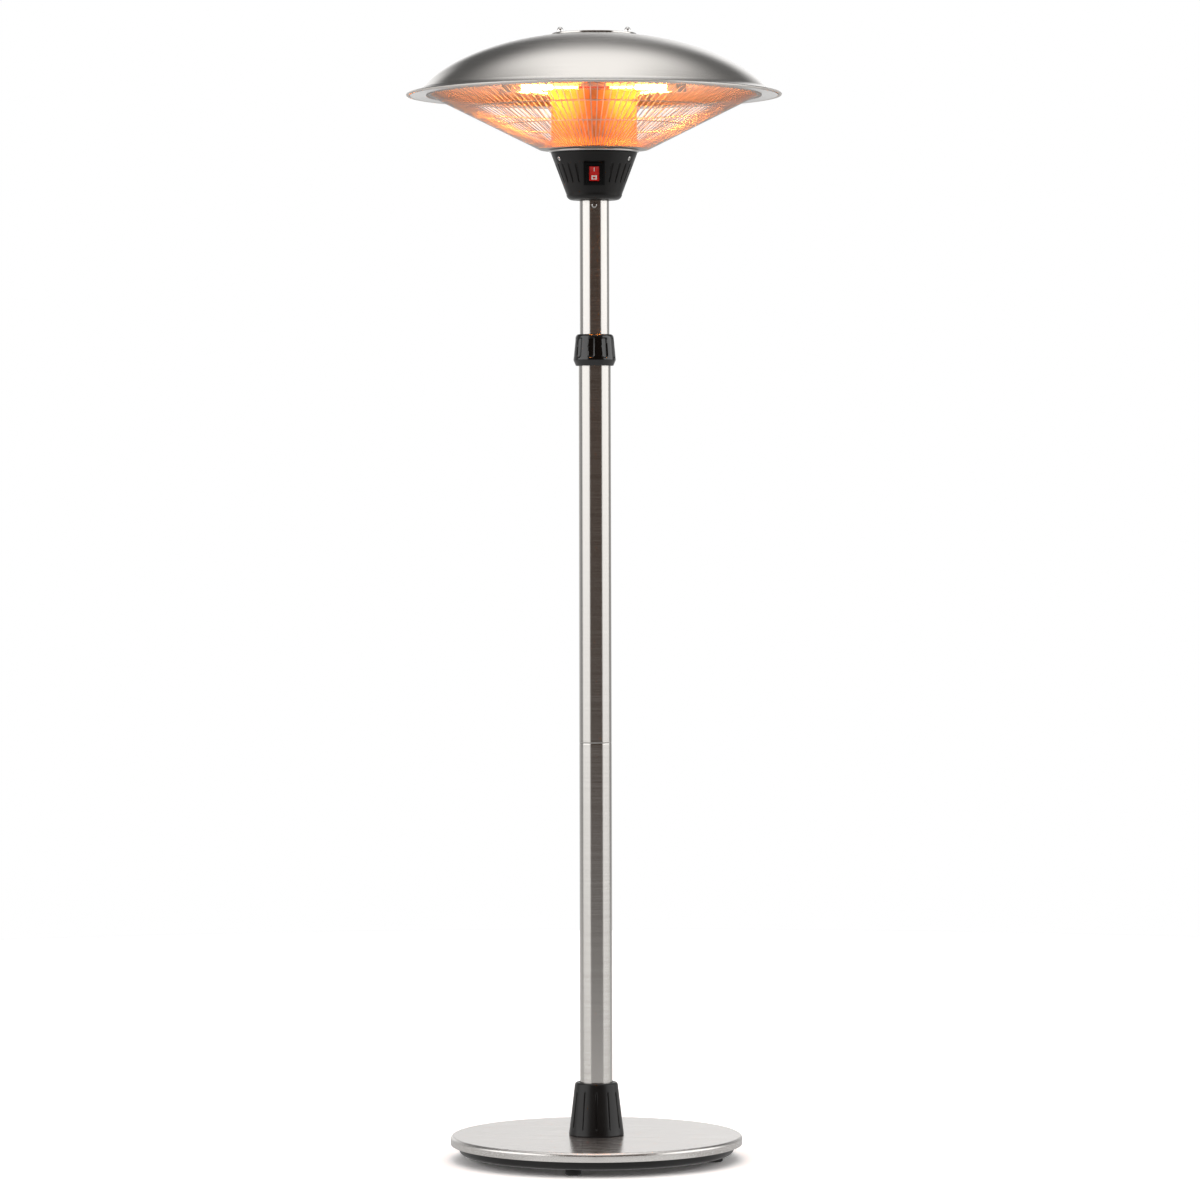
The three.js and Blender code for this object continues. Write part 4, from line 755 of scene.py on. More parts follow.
def build_housing():
    corner, inner_corner = HOUSING_CORNER, HOUSING_CORNER - HOUSING_WALL
    centre_radius = CONE_FOOT_RADIUS - corner
    wall = HOUSING_WALL / math.cos(CONE_SLOPE)
    neck = MAST_BORE
    lip = 1 * MM
    outline = [
        (neck, HOUSING_FOOT),
        *arc((centre_radius, CONE_FOOT), corner, corner, -90, 0, 10)[:-1],
        *straight((CONE_FOOT_RADIUS, CONE_FOOT), (cone_radius_at(HOUSING_TOP - lip), HOUSING_TOP - lip), 48),
        (CONE_TOP_RADIUS - lip, HOUSING_TOP),
        (CONE_TOP_RADIUS - wall, HOUSING_TOP),
        *arc((centre_radius, CONE_FOOT), inner_corner, inner_corner, 0, -90, 6),
        (neck, HOUSING_FOOT + HOUSING_WALL),
    ]
    flute_foot, flute_top = HOUSING_FOOT + 25 * MM, HOUSING_FOOT + 55 * MM
    pitch = (FULL_TURN - 2 * FIRST_FLUTE) / (FLUTES - 1)

    def flute(angle, radius, z):
        around = angle % FULL_TURN
        nearest = min(max(round((around - FIRST_FLUTE) / pitch), 0), FLUTES - 1)
        sideways = abs(apart(around, FIRST_FLUTE + nearest * pitch)) * radius
        share = (z - flute_foot) / (flute_top - flute_foot)
        if not -0.1 < share < 1.1:
            return 0
        half_width = (0.9 + 1.8 * min(1, max(0, share))) * MM
        beyond = max(0, flute_foot + MM - z, z - flute_top + 2.4 * MM)
        reach = math.hypot(sideways, beyond) / half_width
        return 1.6 * MM * ease((1 - reach) * 1.6)

    bm = turned(outline, 432)
    pressed(
        bm,
        flute,
        lambda radius, z: z > CONE_FOOT and abs(radius - cone_radius_at(z)) < 0.02 * MM,
        CONE_SLOPE,
    )
    root, proud = 7 * MM, 0.8 * MM
    pad = box(BEZEL_WIDTH, BEZEL_LENGTH, root + proud, (0, 0, (proud - root) / 2))
    opening = box(OPENING_WIDTH, OPENING_LENGTH, 40 * MM)
    tools = [placed(opening, SWITCH_PLACE)]
    for angle in SCREW_ANGLES:
        place = on_cone(cone_radius_at(SCREW_HEIGHT), SCREW_HEIGHT, CONE_SLOPE, angle)
        tools.append(placed(bar(5 * MM, -1.5 * MM, 1.5 * MM), place))
        tools.append(placed(bar(2.1 * MM, -6 * MM, 3 * MM), place))
    bm = worked(worked(bm, [placed(rounded(pad, 0.4 * MM), SWITCH_PLACE)], "UNION"), tools)
    add_piece("housing", bm, "mast", "black_plastic", ["switch_housing"])
    for index, angle in enumerate(SCREW_ANGLES, 1):
        place = on_cone(cone_radius_at(SCREW_HEIGHT), SCREW_HEIGHT, CONE_SLOPE, angle)
        screw = cross_screw(1.8 * MM, 7 * MM, 3.8 * MM, 1.8 * MM)
        placed(screw, Matrix.Translation((0, 0, -1.2 * MM)), place)
        add_piece(f"chrome_screw_{index}", screw, "mast", "chrome_fixings", [f"housing_screw_{index}"])


# ---------------------------------------------------------------- rocker switch
ROCKER_WIDTH, ROCKER_REACH, PIVOT_DEPTH = 15.3 * MM, 11.7 * MM, 1.2 * MM
ROCKER_TILT = math.radians(10)
ROCKER_PLACE = (
    SWITCH_PLACE @ Matrix.Translation((0, 0, -PIVOT_DEPTH)) @ Matrix.Rotation(-ROCKER_TILT, 4, "X")
)


def build_switch():
    middle = (BEZEL_FOOT + BEZEL_TOP) / 2
    bezel = worked(
        rounded(box(BEZEL_WIDTH, BEZEL_LENGTH, BEZEL_TOP - BEZEL_FOOT, (0, 0, middle)), 0.7 * MM, 3),
        [box(OPENING_WIDTH, OPENING_LENGTH, 10 * MM)],
    )
    add_piece(
        "bezel",
        placed(bezel, SWITCH_PLACE),
        "mast",
        "gloss_black_plastic",
        ["switch_bezel"],
        [dull_black],
    )
    top, gap = BEZEL_TOP + 0.5 * MM, 0.3 * MM
    width, length, depth = OPENING_WIDTH - 2 * gap, OPENING_LENGTH - 2 * gap, 20 * MM
    body = rounded(box(width, length, depth + top, (0, 0, (top - depth) / 2)), 0.5 * MM)
    pocket = box(ROCKER_WIDTH + 0.8 * MM, 2 * (ROCKER_REACH + 0.6 * MM), 18 * MM)
    reach = ROCKER_WIDTH / 2 + 1.7 * MM
    pin_hole = placed(
        bar(1.5 * MM, -reach, reach),
        Matrix.Rotation(math.pi / 2, 4, "Y"),
        Matrix.Translation((0, 0, -PIVOT_DEPTH)),
    )
    step = box(width - 5 * MM, length - 2 * MM, 0.8 * MM, (0, 0, top))
    body = worked(body, [pocket, pin_hole, step])
    add_piece(
        "switch", placed(body, SWITCH_PLACE), "mast", "gloss_black_plastic", ["switch_body"], [dull_black]
    )
    build_rocker()


def rocker_side():
    """The rocker's outline in its side view: along it, and out of the housing."""
    end, rise, under = 22, 2.4 * MM, 5 * MM
    foot = ROCKER_REACH * math.cos(math.radians(end))
    return [
        (-foot, -under),
        (foot, -under),
        *arc((0, 0), ROCKER_REACH, ROCKER_REACH, -end, end, 8),
        *arc((0, rise + 40 * MM), 40 * MM, 40 * MM, -75.5, -104.5, 12)[1:-1],
        *arc((0, 0), ROCKER_REACH, ROCKER_REACH, 180 - end, 180 + end, 8),
    ]


def build_rocker():
    bm = bmesh.new()
    side = bm.faces.new([bm.verts.new((-ROCKER_WIDTH / 2, y, z)) for y, z in rocker_side()])
    grown = bmesh.ops.extrude_face_region(bm, geom=[side])["geom"]
    far = [item for item in grown if isinstance(item, bmesh.types.BMVert)]
    bmesh.ops.translate(bm, verts=far, vec=(ROCKER_WIDTH, 0, 0))
    bmesh.ops.recalc_face_normals(bm, faces=bm.faces)
    rounded(bm, 0.5 * MM, 3)
    reach = ROCKER_WIDTH / 2 + 1.4 * MM
    pin = placed(bar(1.2 * MM, -reach, reach), Matrix.Rotation(math.pi / 2, 4, "Y"))
    add_piece(
        "red_rocker", placed(joined(bm, pin), ROCKER_PLACE), "rocker", "rocker_red", ["rocker"], [red_lens]
    )
    build_marks()


def build_marks():
    """The usual I and O of a mains switch, printed on the rocker's two halves."""
    lift = 3.2 * MM
    bar_mark = box(1.1 * MM, 6.2 * MM, 0.1 * MM)
    ring = worked(box(8.4 * MM, 7 * MM, 0.1 * MM), [box(4 * MM, 2.8 * MM, MM)])
    slope = math.radians(9)
    up = Matrix.Translation((0, 6.4 * MM, lift)) @ Matrix.Rotation(slope, 4, "X")
    down = Matrix.Translation((0, -6.4 * MM, lift)) @ Matrix.Rotation(-slope, 4, "X")
    for name, mark, half in (("mark_on", bar_mark, up), ("mark_off", ring, down)):
        add_piece(name, placed(mark, ROCKER_PLACE @ half), "rocker", "rocker_red", (), [white_ink])


# ---------------------------------------------------------------- guard
GUARD_WIRES = 140
WIRE_RADIUS = 0.9 * MM
DRUM_RADIUS = 66 * MM
DISC_RADIUS = DRUM_RADIUS + 18 * MM
RIM_EDGE = radius_of("guard")
RIM_INNER = 252.8 * MM
DISC_MIDDLE = foot_of("guard") + MM
CONE_END = top_of("guard") - MM
RIM_MIDDLE = CONE_END - MM


def guard_point(share):
    """A point of the guard's slope, from the disc's edge (0) to the rim (1), as radius and height."""
    return Vector((DISC_RADIUS, DISC_MIDDLE)).lerp(Vector((RIM_INNER, CONE_END)), share)


def build_guard():
    start = Vector((DRUM_RADIUS + 4 * MM, DISC_MIDDLE))
    end = Vector((RIM_INNER + 6 * MM, CONE_END - 1.4 * MM))
    way = [start, guard_point(0), guard_point(1), end]
    one = bmesh.new()
    sides = 6
    loops = []
    for point in way:
        ring = bmesh.ops.create_circle(one, cap_ends=False, segments=sides, radius=WIRE_RADIUS)["verts"]
        bmesh.ops.rotate(one, verts=ring, matrix=Matrix.Rotation(math.pi / 2, 3, "X"))
        bmesh.ops.translate(one, verts=ring, vec=(0, -point[0], point[1]))
        loops.append({edge for vert in ring for edge in vert.link_edges})
    for near, far in zip(loops, loops[1:]):
        bmesh.ops.bridge_loops(one, edges=list(near | far))
    bmesh.ops.holes_fill(one, edges=one.edges)
    wires = bmesh.new()
    mesh = bpy.data.meshes.new("wire")
    one.to_mesh(mesh)
    one.free()
    for index in range(GUARD_WIRES):
        before = len(wires.verts)
        wires.from_mesh(mesh)
        wires.verts.ensure_lookup_table()
        turn = Matrix.Rotation(FULL_TURN * (index + 0.5) / GUARD_WIRES, 3, "Z")
        bmesh.ops.rotate(wires, verts=wires.verts[before:], matrix=turn)
    bpy.data.meshes.remove(mesh)
    add_piece("guard_wires", wires, "mast", "chrome_fixings", ["guard"], [wire_satin])
    for index, share in enumerate((0.4, 0.71), 1):
        radius, height = guard_point(share)
        ring = turned(arc((radius, height + 1.6 * MM), 1.1 * MM, 1.1 * MM, 0, 330, 11))
        add_piece(f"guard_ring_{index}", ring, "mast", "chrome_fixings", (), [wire_satin])
    disc_wall, disc_inner = 1.2 * MM, DRUM_RADIUS - 9 * MM
    outline = [
        (disc_inner, DISC_MIDDLE - disc_wall / 2),
        *arc((DRUM_RADIUS + 6 * MM, DISC_MIDDLE), disc_wall / 2, disc_wall / 2, -90, 90, 6),
        (disc_inner, DISC_MIDDLE + disc_wall / 2),
    ]
    add_piece("guard_disc", turned(outline), "mast", "chrome_fixings", (), [wire_satin])
    wall = 0.6 * MM
    outline = [
        (RIM_INNER - 0.5 * MM, CONE_END),
        (RIM_INNER, CONE_END - wall),
        (RIM_EDGE - 0.5 * MM, RIM_MIDDLE - wall),
        (RIM_EDGE, RIM_MIDDLE),
        (RIM_EDGE - 0.5 * MM, RIM_MIDDLE + wall),
        (RIM_INNER, CONE_END + wall),
    ]
    add_piece("guard_rim", turned(outline), "mast", "brushed_stainless")


# ---------------------------------------------------------------- reflectors
DRUM_FOOT, DRUM_TOP = foot_of("drum_reflector"), top_of("drum_reflector")
DRUM_LIP = radius_of("drum_reflector")


def build_reflectors():
    trim_foot, trim_top, trim_radius = foot_of("trim_ring"), top_of("trim_ring"), radius_of("trim_ring")
    skirt = HOUSING_TOP + 0.4 * MM
    half = (trim_top - skirt) / 2
    outline = [
        (DRUM_RADIUS - 9 * MM, trim_foot),
        (trim_radius - half - 1.2 * MM, trim_foot),
        (trim_radius - half - 1.2 * MM, skirt),
        *arc((trim_radius - half, skirt + half), half, half, -90, 90, 12),
        (DRUM_RADIUS - 9 * MM, trim_top),
    ]
    add_piece("trim", turned(outline), "mast", "polished_stainless", ["trim_ring"], [stainless_buffed])
    wall, flare = 1 * MM, 20 * MM
    curve = []
    for i in range(13):
        share = i / 12
        curve.append((DRUM_RADIUS + (DRUM_LIP - DRUM_RADIUS) * share**1.8, DRUM_TOP - flare * (1 - share)))
    outline = [
        (DRUM_RADIUS, DRUM_FOOT),
        *curve[:-1],
        (DRUM_LIP, DRUM_TOP - wall / 2),
        (DRUM_LIP - wall / 2, DRUM_TOP),
        (DRUM_LIP - wall, DRUM_TOP - wall / 2),
        *[(radius - wall, height) for radius, height in reversed(curve[:-1])],
        (DRUM_RADIUS - wall, DRUM_FOOT),
    ]
    # The drum and its foot ring wear the straw tint: painted lamp glow.
    add_piece(
        "drum", turned(outline), "mast", "polished_stainless", ["drum_reflector"], [stainless_straw]
    )
    foot, top, radius = foot_of("drum_foot_ring"), top_of("drum_foot_ring"), radius_of("drum_foot_ring")
    neck = DRUM_RADIUS + 1.3 * MM
    outline = [
        *[(neck + (radius - neck) * (1 - i / 8) ** 1.4, foot + (top - foot) * i / 8) for i in range(9)],
        (neck - wall, top),
        *[(neck - wall + (radius - neck) * (i / 8) ** 1.4, top - (top - foot) * i / 8) for i in range(1, 9)],
    ]
    add_piece(
        "foot_ring", turned(outline), "mast", "polished_stainless", ["drum_foot_ring"], [stainless_straw]
    )
    seat, rim_top = foot_of("reflector_plate"), top_of("reflector_plate")
    radius = radius_of("reflector_plate")
    ceiling = seat + 10 * MM
    step_inner = DRUM_LIP + 2 * MM
    step_outer = step_inner + 14 * MM
    outline = [
        (12 * MM, seat),
        (step_inner, seat),
        (step_outer, ceiling),
        (radius, ceiling),
        (radius, rim_top),
        (radius - wall, rim_top),
        (radius - wall, ceiling + wall),
        (step_outer, ceiling + wall),
        (step_inner, seat + wall),
        (12 * MM, seat + wall),
    ]
    plate = rounded(turned(outline), 0.4 * MM, 2, math.radians(25))
    add_piece("ceiling_plate", plate, "mast", "polished_stainless", ["reflector_plate"])


# ---------------------------------------------------------------- lamps
LAMP_NAMES = ("front", "right", "left")
CAP_LENGTH, CAP_RADIUS, CAP_SOCKET = 15 * MM, 7 * MM, 7 * MM
TUBE_RADIUS, COIL_RADIUS = 4 * MM, 1.3 * MM
LAMP_HEIGHT = (foot_of("heat_lamp_front") + top_of("heat_lamp_front")) / 2
LAMP_DISTANCE = -(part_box("heat_lamp_front")[0].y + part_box("heat_lamp_front")[1].y) / 2
LAMP_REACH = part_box("heat_lamp_front")[1].x
CAP_INNER_END = LAMP_REACH - CAP_SOCKET + 0.3 * MM
FROST_START = 64 * MM  # the quartz is clear inside this and frosted outside
DARK_REACH = {"front": 25 * MM, "right": 4 * MM, "left": 4 * MM}  # half of the coil's unlit middle


def lamp_rod(radius, stations, place, finish_at):
    """A rod along a lamp, with a material for each stretch."""
    ends = [(0, stations[0]), *[(radius, z) for z in stations], (0, stations[-1])]
    rod = turned(ends, SMALL_STEPS)
    for face in rod.faces:
        face.material_index = finish_at(abs(face.calc_center_median().z))
    return placed(rod, *place)


def build_lamps():
    lay = Matrix.Translation((0, -LAMP_DISTANCE, LAMP_HEIGHT)) @ Matrix.Rotation(math.pi / 2, 4, "Y")
    for index, name in enumerate(LAMP_NAMES):
        turn, dark = about_z(index * FULL_TURN / 3), DARK_REACH[name]
        stations = [-LAMP_REACH, -CAP_INNER_END, -FROST_START, FROST_START, CAP_INNER_END, LAMP_REACH]
        tube = lamp_rod(
            TUBE_RADIUS, stations, (lay, turn), lambda z: 1 if FROST_START < z < CAP_INNER_END else 0
        )
        node = f"heat_lamp_{name}"
        add_piece(f"lamp_tube_{name}", tube, "mast", "lamp_quartz", [node], [quartz_clear, quartz_lit])
        stations = [-CAP_INNER_END, -dark, dark, CAP_INNER_END]
        coil = lamp_rod(COIL_RADIUS, stations, (lay, turn), lambda z: 0 if z > dark else 1)
        add_piece(f"lamp_coil_{name}", coil, "mast", "lamp_quartz", (), [quartz_lit, coil_dim])
        socket = TUBE_RADIUS + 0.3 * MM
        for letter, side in (("a", 1), ("b", -1)):
            outline = [
                (socket, 0),
                (CAP_RADIUS, 0),
                (CAP_RADIUS, CAP_LENGTH),
                (0, CAP_LENGTH),
                (0, CAP_SOCKET),
                (socket, CAP_SOCKET),
            ]
            cap = rounded(turned(outline, SMALL_STEPS), 0.6 * MM)
            along = Matrix.Translation((0, 0, CAP_INNER_END))
            face_out = Matrix.Rotation(0 if side > 0 else math.pi, 4, "X")
            placed(cap, along, face_out, lay, turn)
            add_piece(f"cap_{name}_{letter}", cap, "mast", "lamp_ceramic", [f"lamp_cap_{name}_{letter}"])
        softened(f"lamp_bracket_{index + 1}", "mast", "zinc_steel", 0.3 * MM, finish=[stainless_rolled])


# ---------------------------------------------------------------- hood
ROD_X = 52 * MM


def rod_holes(foot, top):
    radius = 3.3 * MM
    return [placed(bar(radius, foot, top), Matrix.Translation((side * ROD_X, 0, 0))) for side in (-1, 1)]


def build_hood():
    top, rim = top_of("hood"), radius_of("hood")
    curve_radius, curve_rise, crown_radius, wall = 288 * MM, 138 * MM, 66 * MM, 1 * MM
    bead = 1.8 * MM
    bead_height = foot_of("hood") + bead
    crown_angle = math.degrees(math.acos(crown_radius / curve_radius))
    centre = (0, top - curve_rise * math.sin(math.radians(crown_angle)))
    root_height = top - 83.5 * MM
    flange_angle = math.degrees(math.asin((root_height - centre[1]) / curve_rise))
    neck = curve_radius * math.cos(math.radians(flange_angle))
    inner = arc(centre, curve_radius - wall, curve_rise - wall, crown_angle, flange_angle, 60)
    outer = arc(centre, curve_radius, curve_rise, flange_angle, crown_angle, 60)
    outline = [
        (0, top - wall),
        (crown_radius * 0.5, top - wall),
        *inner[:-1],
        (neck - wall, root_height - wall / 2),
        *arc((rim - bead, bead_height), bead, bead, -145, 125, 14),
        *outer,
        (crown_radius * 0.5, top),
        (0, top),
    ]
    shell = worked(turned(outline), rod_holes(top - 10 * MM, top + 10 * MM))
    for face in shell.faces:
        face.material_index = 1 if face.normal.z < 0 else 0
    add_piece(
        "hood_shell", shell, "mast", "brushed_stainless", ["hood"], [stainless_round, stainless_rolled]
    )
    foot, top, radius = foot_of("top_disc"), top_of("top_disc"), radius_of("top_disc")
    outline = [
        (0, foot),
        (radius, foot),
        *arc((radius - 0.7 * MM, top - 0.7 * MM), 0.7 * MM, 0.7 * MM, 0, 90, 5),
        (0, top),
    ]
    disc = worked(turned(outline), rod_holes(foot - 5 * MM, top + 5 * MM))
    add_piece("crown_disc", disc, "mast", "brushed_stainless", ["top_disc"])
    foot, top = foot_of("cap_nut_left"), top_of("cap_nut_left")
    hexagon_top = foot + 5 * MM
    for name, side in (("left", -1), ("right", 1)):
        hexagon = rounded(bar(6 * MM, foot, hexagon_top, 6), 0.3 * MM)
        dome_radius = 4.9 * MM
        dome = turned(
            [
                (0, foot),
                (dome_radius, foot),
                *arc((0, hexagon_top), dome_radius, top - hexagon_top, 0, 90, 10),
            ],
            SMALL_STEPS,
        )
        nut = placed(joined(hexagon, dome), Matrix.Translation((side * ROD_X, 0, 0)))
        add_piece(f"domed_nut_{name}", nut, "mast", "chrome_fixings", [f"cap_nut_{name}"])


def build_tube_screw():
    place = Matrix.Translation((0, -MAST_RADIUS - 0.3 * MM, top_of("mast_tube") - 8.7 * MM))
    screw = cross_screw(2 * MM, 8 * MM, 4 * MM, 2 * MM)
    placed(screw, place @ Matrix.Rotation(math.pi / 2, 4, "X"))
    add_piece("mast_screw", screw, "mast", "chrome_fixings", ["tube_screw"])


# ---------------------------------------------------------------- stage, light and camera
CAMERA_DISTANCE = 7.9
CAMERA_HEIGHT = 1.048
SENSOR = 36.0
PICTURE = 1200
FOCAL_PIXELS = 5118
HORIZON_ROW = 480
AXIS_COLUMN = 594.9
ROLL = math.radians(0.137)


def build_camera():
    """A level camera with a shifted lens, so that the pole's sides stay parallel."""
    data = bpy.data.cameras.new("camera")
    data.sensor_width = SENSOR
    data.lens = SENSOR * FOCAL_PIXELS / PICTURE
    data.shift_x = (PICTURE / 2 - AXIS_COLUMN) / PICTURE
    data.shift_y = (HORIZON_ROW - PICTURE / 2) / PICTURE
    data.clip_start, data.clip_end = 0.1, 100
    camera = bpy.data.objects.new("camera", data)
    bpy.context.scene.collection.objects.link(camera)
    level = Matrix.Rotation(math.pi / 2, 4, "X") @ Matrix.Rotation(-ROLL, 4, "Z")
    camera.matrix_world = Matrix.Translation((0, -CAMERA_DISTANCE, CAMERA_HEIGHT)) @ level
    bpy.context.scene.camera = camera


FLOOR_RADIUS = 4.0
STUDIO_LEVEL = 1.9
PANEL_WHITE = [0.76, 0.756, 0.752, 1]
FLOOR_SEEN = [1.6, 1.58, 1.57, 1]  # bright enough that the camera sees the lit floor as white
ROOM_TURN = math.radians(7.5)  # the room's dark end lies this much to the right of the camera


def grey(value):
    return (value, value, value)


def round_stops(*stops):
    """Stops of a ramp round the room, given in degrees from its dark end."""
    return [(angle / 180, grey(tone) if isinstance(tone, float) else tone) for angle, tone in stops]


def way_round(tree, x, y):
    """How far a direction is from the room's dark end, behind the camera: 0 towards it, 1 straight away."""
    cos, sin = math.cos(ROOM_TURN), math.sin(ROOM_TURN)
    level = add(tree, "ShaderNodeCombineXYZ", {"X": x, "Y": y}).outputs[0]
    across = add(tree, "ShaderNodeVectorMath", {0: level, 1: (cos, sin, 0)}, operation="DOT_PRODUCT")
    toward = add(tree, "ShaderNodeVectorMath", {0: level, 1: (sin, -cos, 0)}, operation="DOT_PRODUCT")
    aside = add(tree, "ShaderNodeMath", {0: across.outputs["Value"]}, operation="ABSOLUTE").outputs[0]
    angle = add(
        tree, "ShaderNodeMath", {0: aside, 1: toward.outputs["Value"]}, operation="ARCTAN2"
    ).outputs[0]
    return add(tree, "ShaderNodeMath", {0: angle, 1: math.pi}, operation="DIVIDE").outputs[0]


def ramp_node(tree, value, stops):
    """A colour ramp with grey or coloured stops: (place, colour)."""
    node = add(tree, "ShaderNodeValToRGB", {"Fac": value})
    ramp = node.color_ramp
    ramp.interpolation = "EASE"
    while len(ramp.elements) < len(stops):
        ramp.elements.new(0.5)
    for element, (place, colour) in zip(ramp.elements, stops):
        element.position = place
        element.color = [*colour, 1]
    return node.outputs["Color"]


def build_world():
    """A studio: tall white panels either side, a white panel overhead, a pale backdrop behind the heater
    and a dim room behind the camera. The camera itself, and clear glass, see plain white."""
    world = bpy.data.worlds.new("studio")
    world.use_nodes = True
    tree = world.node_tree
    tree.nodes.clear()
    way = add(tree, "ShaderNodeTexCoord").outputs["Generated"]
    parts = add(tree, "ShaderNodeSeparateXYZ", {0: way})
    x, y, z = (parts.outputs[axis] for axis in "XYZ")
    round_share = way_round(tree, x, y)
    rise = add(tree, "ShaderNodeMath", {0: z}, operation="ARCSINE").outputs[0]
    rise_share = add(
        tree, "ShaderNodeMapRange", {"Value": rise, "From Min": -math.pi / 2, "From Max": math.pi / 2}
    ).outputs[0]

    def up(degrees):
        return (degrees + 90) / 180

    dark_room = (0.026, 0.016, 0.011)
    level = ramp_node(
        tree,
        round_share,
        round_stops(
            *((0, dark_room), (40, dark_room), (50, 1.0), (101, 1.0)),
            *((116, 0.16), (150, 0.3), (166, 0.64), (180, 0.68)),
        ),
    )
    upper = ramp_node(
        tree,
        round_share,
        round_stops(
            *((0, (0.05, 0.036, 0.03)), (36, (0.08, 0.062, 0.052)), (60, 0.2)),
            *((90, 0.18), (125, 0.09), (180, 0.06)),
        ),
    )
    floor_level = ramp_node(
        tree,
        round_share,
        round_stops((39, 0.1), (51, 0.4), (101, 0.4), (116, 0.16), (150, 0.3), (180, 0.38)),
    )
    below = ramp_node(
        tree,
        rise_share,
        [(up(-24), grey(0.3)), (up(-10), (0.1, 0.085, 0.075)), (up(-3), dark_room)],
    )
    front = ramp_node(tree, round_share, round_stops((0, 1.0), (38, 1.0), (50, 0.0)))
    under = add(tree, "ShaderNodeMath", {0: z, 1: 0.0}, operation="LESS_THAN").outputs[0]
    front_under = add(tree, "ShaderNodeMath", {0: front, 1: under}, operation="MULTIPLY").outputs[0]
    # Below the horizon the side panels and the backdrop end, and the floor goes on.
    drop = add(tree, "ShaderNodeMapRange", {"Value": rise_share, "From Min": up(0.5), "From Max": up(-3)})
    sunk = add(
        tree, "ShaderNodeMix", {"Factor": drop.outputs[0], "A": level, "B": floor_level}, data_type="RGBA"
    ).outputs["Result"]
    low = add(
        tree, "ShaderNodeMix", {"Factor": front_under, "A": sunk, "B": below}, data_type="RGBA"
    ).outputs["Result"]
    # How high the level band reaches, as a share of a right angle: low at the front, tall at the sides.
    reach = ramp_node(
        tree,
        round_share,
        [
            (angle / 180, grey(rise_degrees / 90))
            for angle, rise_degrees in (
                (0, 12), (36, 14), (50, 40), (90, 40), (115, 13), (150, 24), (166, 24), (180, 14)
            )
        ],
    )
    height = add(tree, "ShaderNodeMath", {0: rise, 1: math.pi / 2}, operation="DIVIDE").outputs[0]
    over = add(tree, "ShaderNodeMath", {0: height, 1: reach}, operation="SUBTRACT").outputs[0]
    blend = add(
        tree,
        "ShaderNodeMapRange",
        {"Value": over, "From Min": -0.06, "From Max": 0.08},
        interpolation_type="SMOOTHSTEP",
    ).outputs[0]
    walls = add(tree, "ShaderNodeMix", {"Factor": blend, "A": low, "B": upper}, data_type="RGBA")
    panel = ramp_node(tree, rise_share, [(up(36), grey(0)), (up(58), grey(1))])
    # The overhead panel is a strip from front to back: it fades out to the left and right.
    aside = add(tree, "ShaderNodeMath", {0: x}, operation="ABSOLUTE").outputs[0]
    above = add(tree, "ShaderNodeMath", {0: z, 1: 0.05}, operation="MAXIMUM").outputs[0]
    spread = add(tree, "ShaderNodeMath", {0: aside, 1: above}, operation="DIVIDE").outputs[0]
    strip = add(
        tree,
        "ShaderNodeMapRange",
        {"Value": spread, "From Min": 0.1, "From Max": 0.7, "To Min": 1.0, "To Max": 0.24},
        interpolation_type="SMOOTHSTEP",
    ).outputs[0]
    lit = add(tree, "ShaderNodeMath", {0: panel, 1: strip}, operation="MULTIPLY").outputs[0]
    studio = add(
        tree,
        "ShaderNodeMix",
        {"Factor": lit, "A": walls.outputs["Result"], "B": PANEL_WHITE},
        data_type="RGBA",
    )
    light = add(tree, "ShaderNodeBackground", {"Color": studio.outputs["Result"], "Strength": STUDIO_LEVEL})
    plain = add(tree, "ShaderNodeBackground", {"Color": [1, 1, 1, 1], "Strength": 1.0})
    path = add(tree, "ShaderNodeLightPath")
    seen = add(
        tree,
        "ShaderNodeMath",
        {0: path.outputs["Is Camera Ray"], 1: path.outputs["Is Transmission Ray"]},
        operation="MAXIMUM",
    )
    shader = add(tree, "ShaderNodeMixShader", {0: seen.outputs[0], 1: light.outputs[0], 2: plain.outputs[0]})
    add(tree, "ShaderNodeOutputWorld", {"Surface": shader.outputs[0]})
    bpy.context.scene.world = world


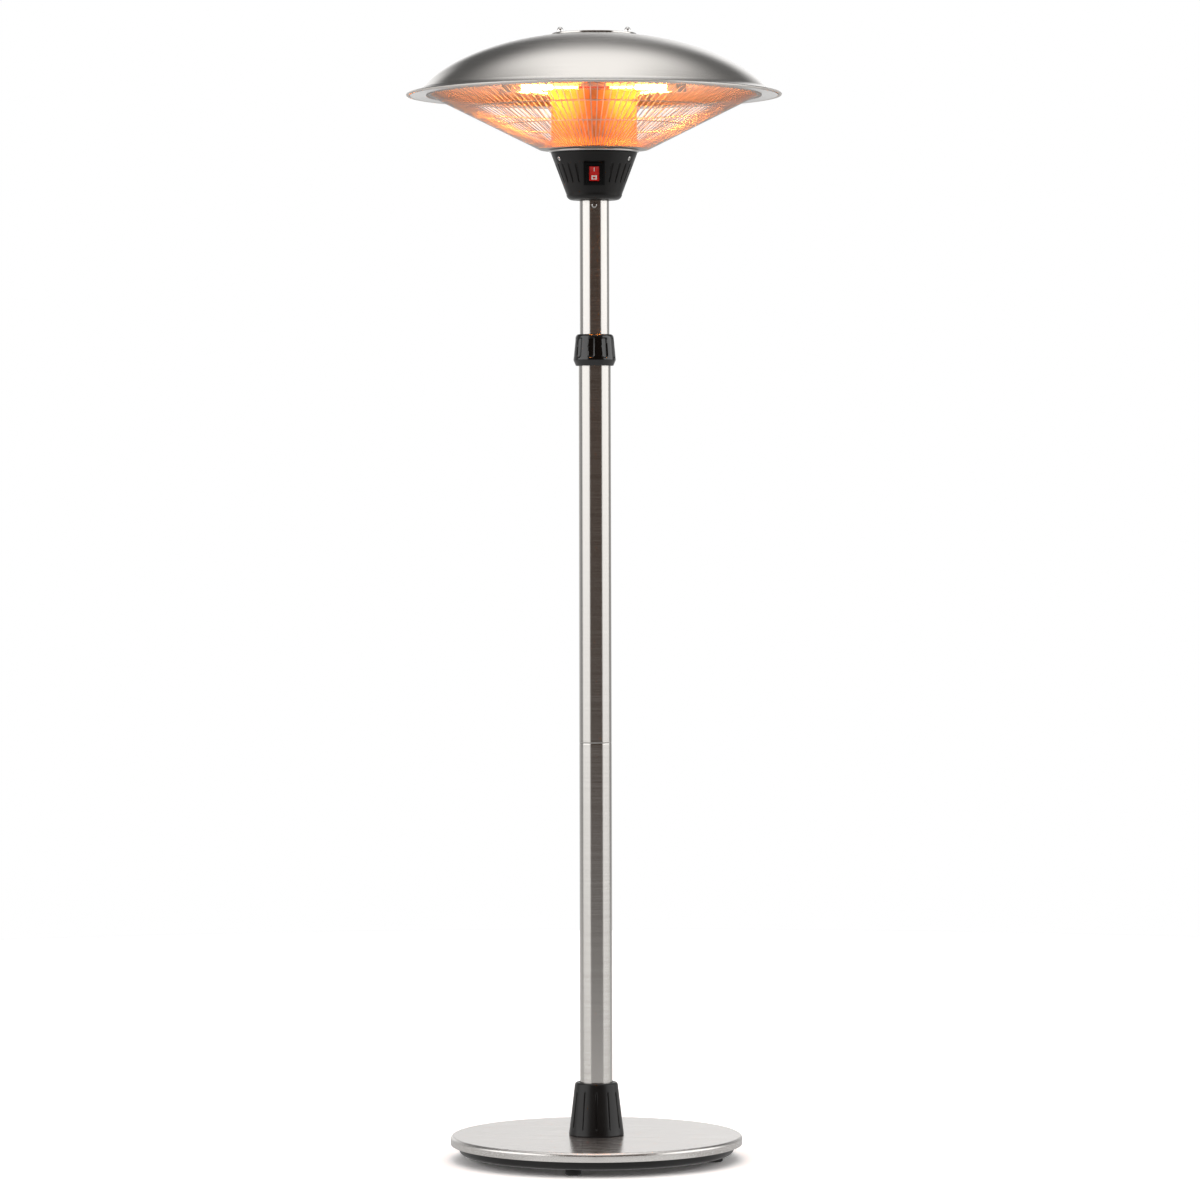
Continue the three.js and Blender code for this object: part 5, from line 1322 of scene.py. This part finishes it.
def build_floor():
    """A pale floor. The camera sees it white but for the heater's soft shadow. In the steel's reflections
    it is bright round the base and dims towards the dark end of the room, behind the camera."""
    material = bpy.data.materials.new("floor_pale")
    material.use_nodes = True
    tree = material.node_tree
    tree.nodes.clear()
    place = add(tree, "ShaderNodeTexCoord").outputs["Object"]
    parts = add(tree, "ShaderNodeSeparateXYZ", {0: place})
    away = add(tree, "ShaderNodeVectorMath", {0: place}, operation="LENGTH").outputs["Value"]
    share = add(tree, "ShaderNodeMath", {0: away, 1: FLOOR_RADIUS}, operation="DIVIDE").outputs[0]
    levels = [(0.06, 0.85), (0.25, 0.66), (0.44, 0.5), (0.7, 0.3), (1.0, 0.1)]
    fading = ramp_node(tree, share, [(place_out, grey(level)) for place_out, level in levels])
    front = ramp_node(
        tree,
        way_round(tree, parts.outputs["X"], parts.outputs["Y"]),
        round_stops((0, 1.0), (36, 1.0), (54, 0.0)),
    )
    mirrored = add(
        tree, "ShaderNodeMix", {"Factor": front, "A": [0.64, 0.635, 0.63, 1], "B": fading}, data_type="RGBA"
    )
    matt = add(tree, "ShaderNodeBsdfDiffuse", {"Color": linear("#EDEAE8")})
    seen = add(tree, "ShaderNodeBsdfDiffuse", {"Color": FLOOR_SEEN})
    glossy = add(tree, "ShaderNodeEmission", {"Color": mirrored.outputs["Result"], "Strength": 1.0})
    path = add(tree, "ShaderNodeLightPath")
    to_camera, to_gloss = path.outputs["Is Camera Ray"], path.outputs["Is Glossy Ray"]
    first = add(tree, "ShaderNodeMixShader", {0: to_camera, 1: matt.outputs[0], 2: seen.outputs[0]})
    whole = add(tree, "ShaderNodeMixShader", {0: to_gloss, 1: first.outputs[0], 2: glossy.outputs[0]})
    add(tree, "ShaderNodeOutputMaterial", {"Surface": whole.outputs[0]})
    bm = bmesh.new()
    bmesh.ops.create_circle(bm, cap_ends=True, segments=96, radius=FLOOR_RADIUS)
    floor = bpy.data.objects.new("floor", bpy.data.meshes.new("floor"))
    bm.to_mesh(floor.data)
    bm.free()
    floor.data.materials.append(material)
    bpy.context.scene.collection.objects.link(floor)


bpy.context.scene.view_settings.view_transform = "Standard"
build_camera()
build_world()
build_floor()
build_base()
build_collar()
build_poles()
build_nut()
build_tube_screw()
build_housing()
build_switch()
build_guard()
build_reflectors()
build_lamps()
build_hood()

for part in frame["record"]["subparts"]:
    shape = frame["nodes"][part["node"]]
    shape.data.materials.clear()
    shape.data.materials.append(FINISHES[part["material_slot"]])
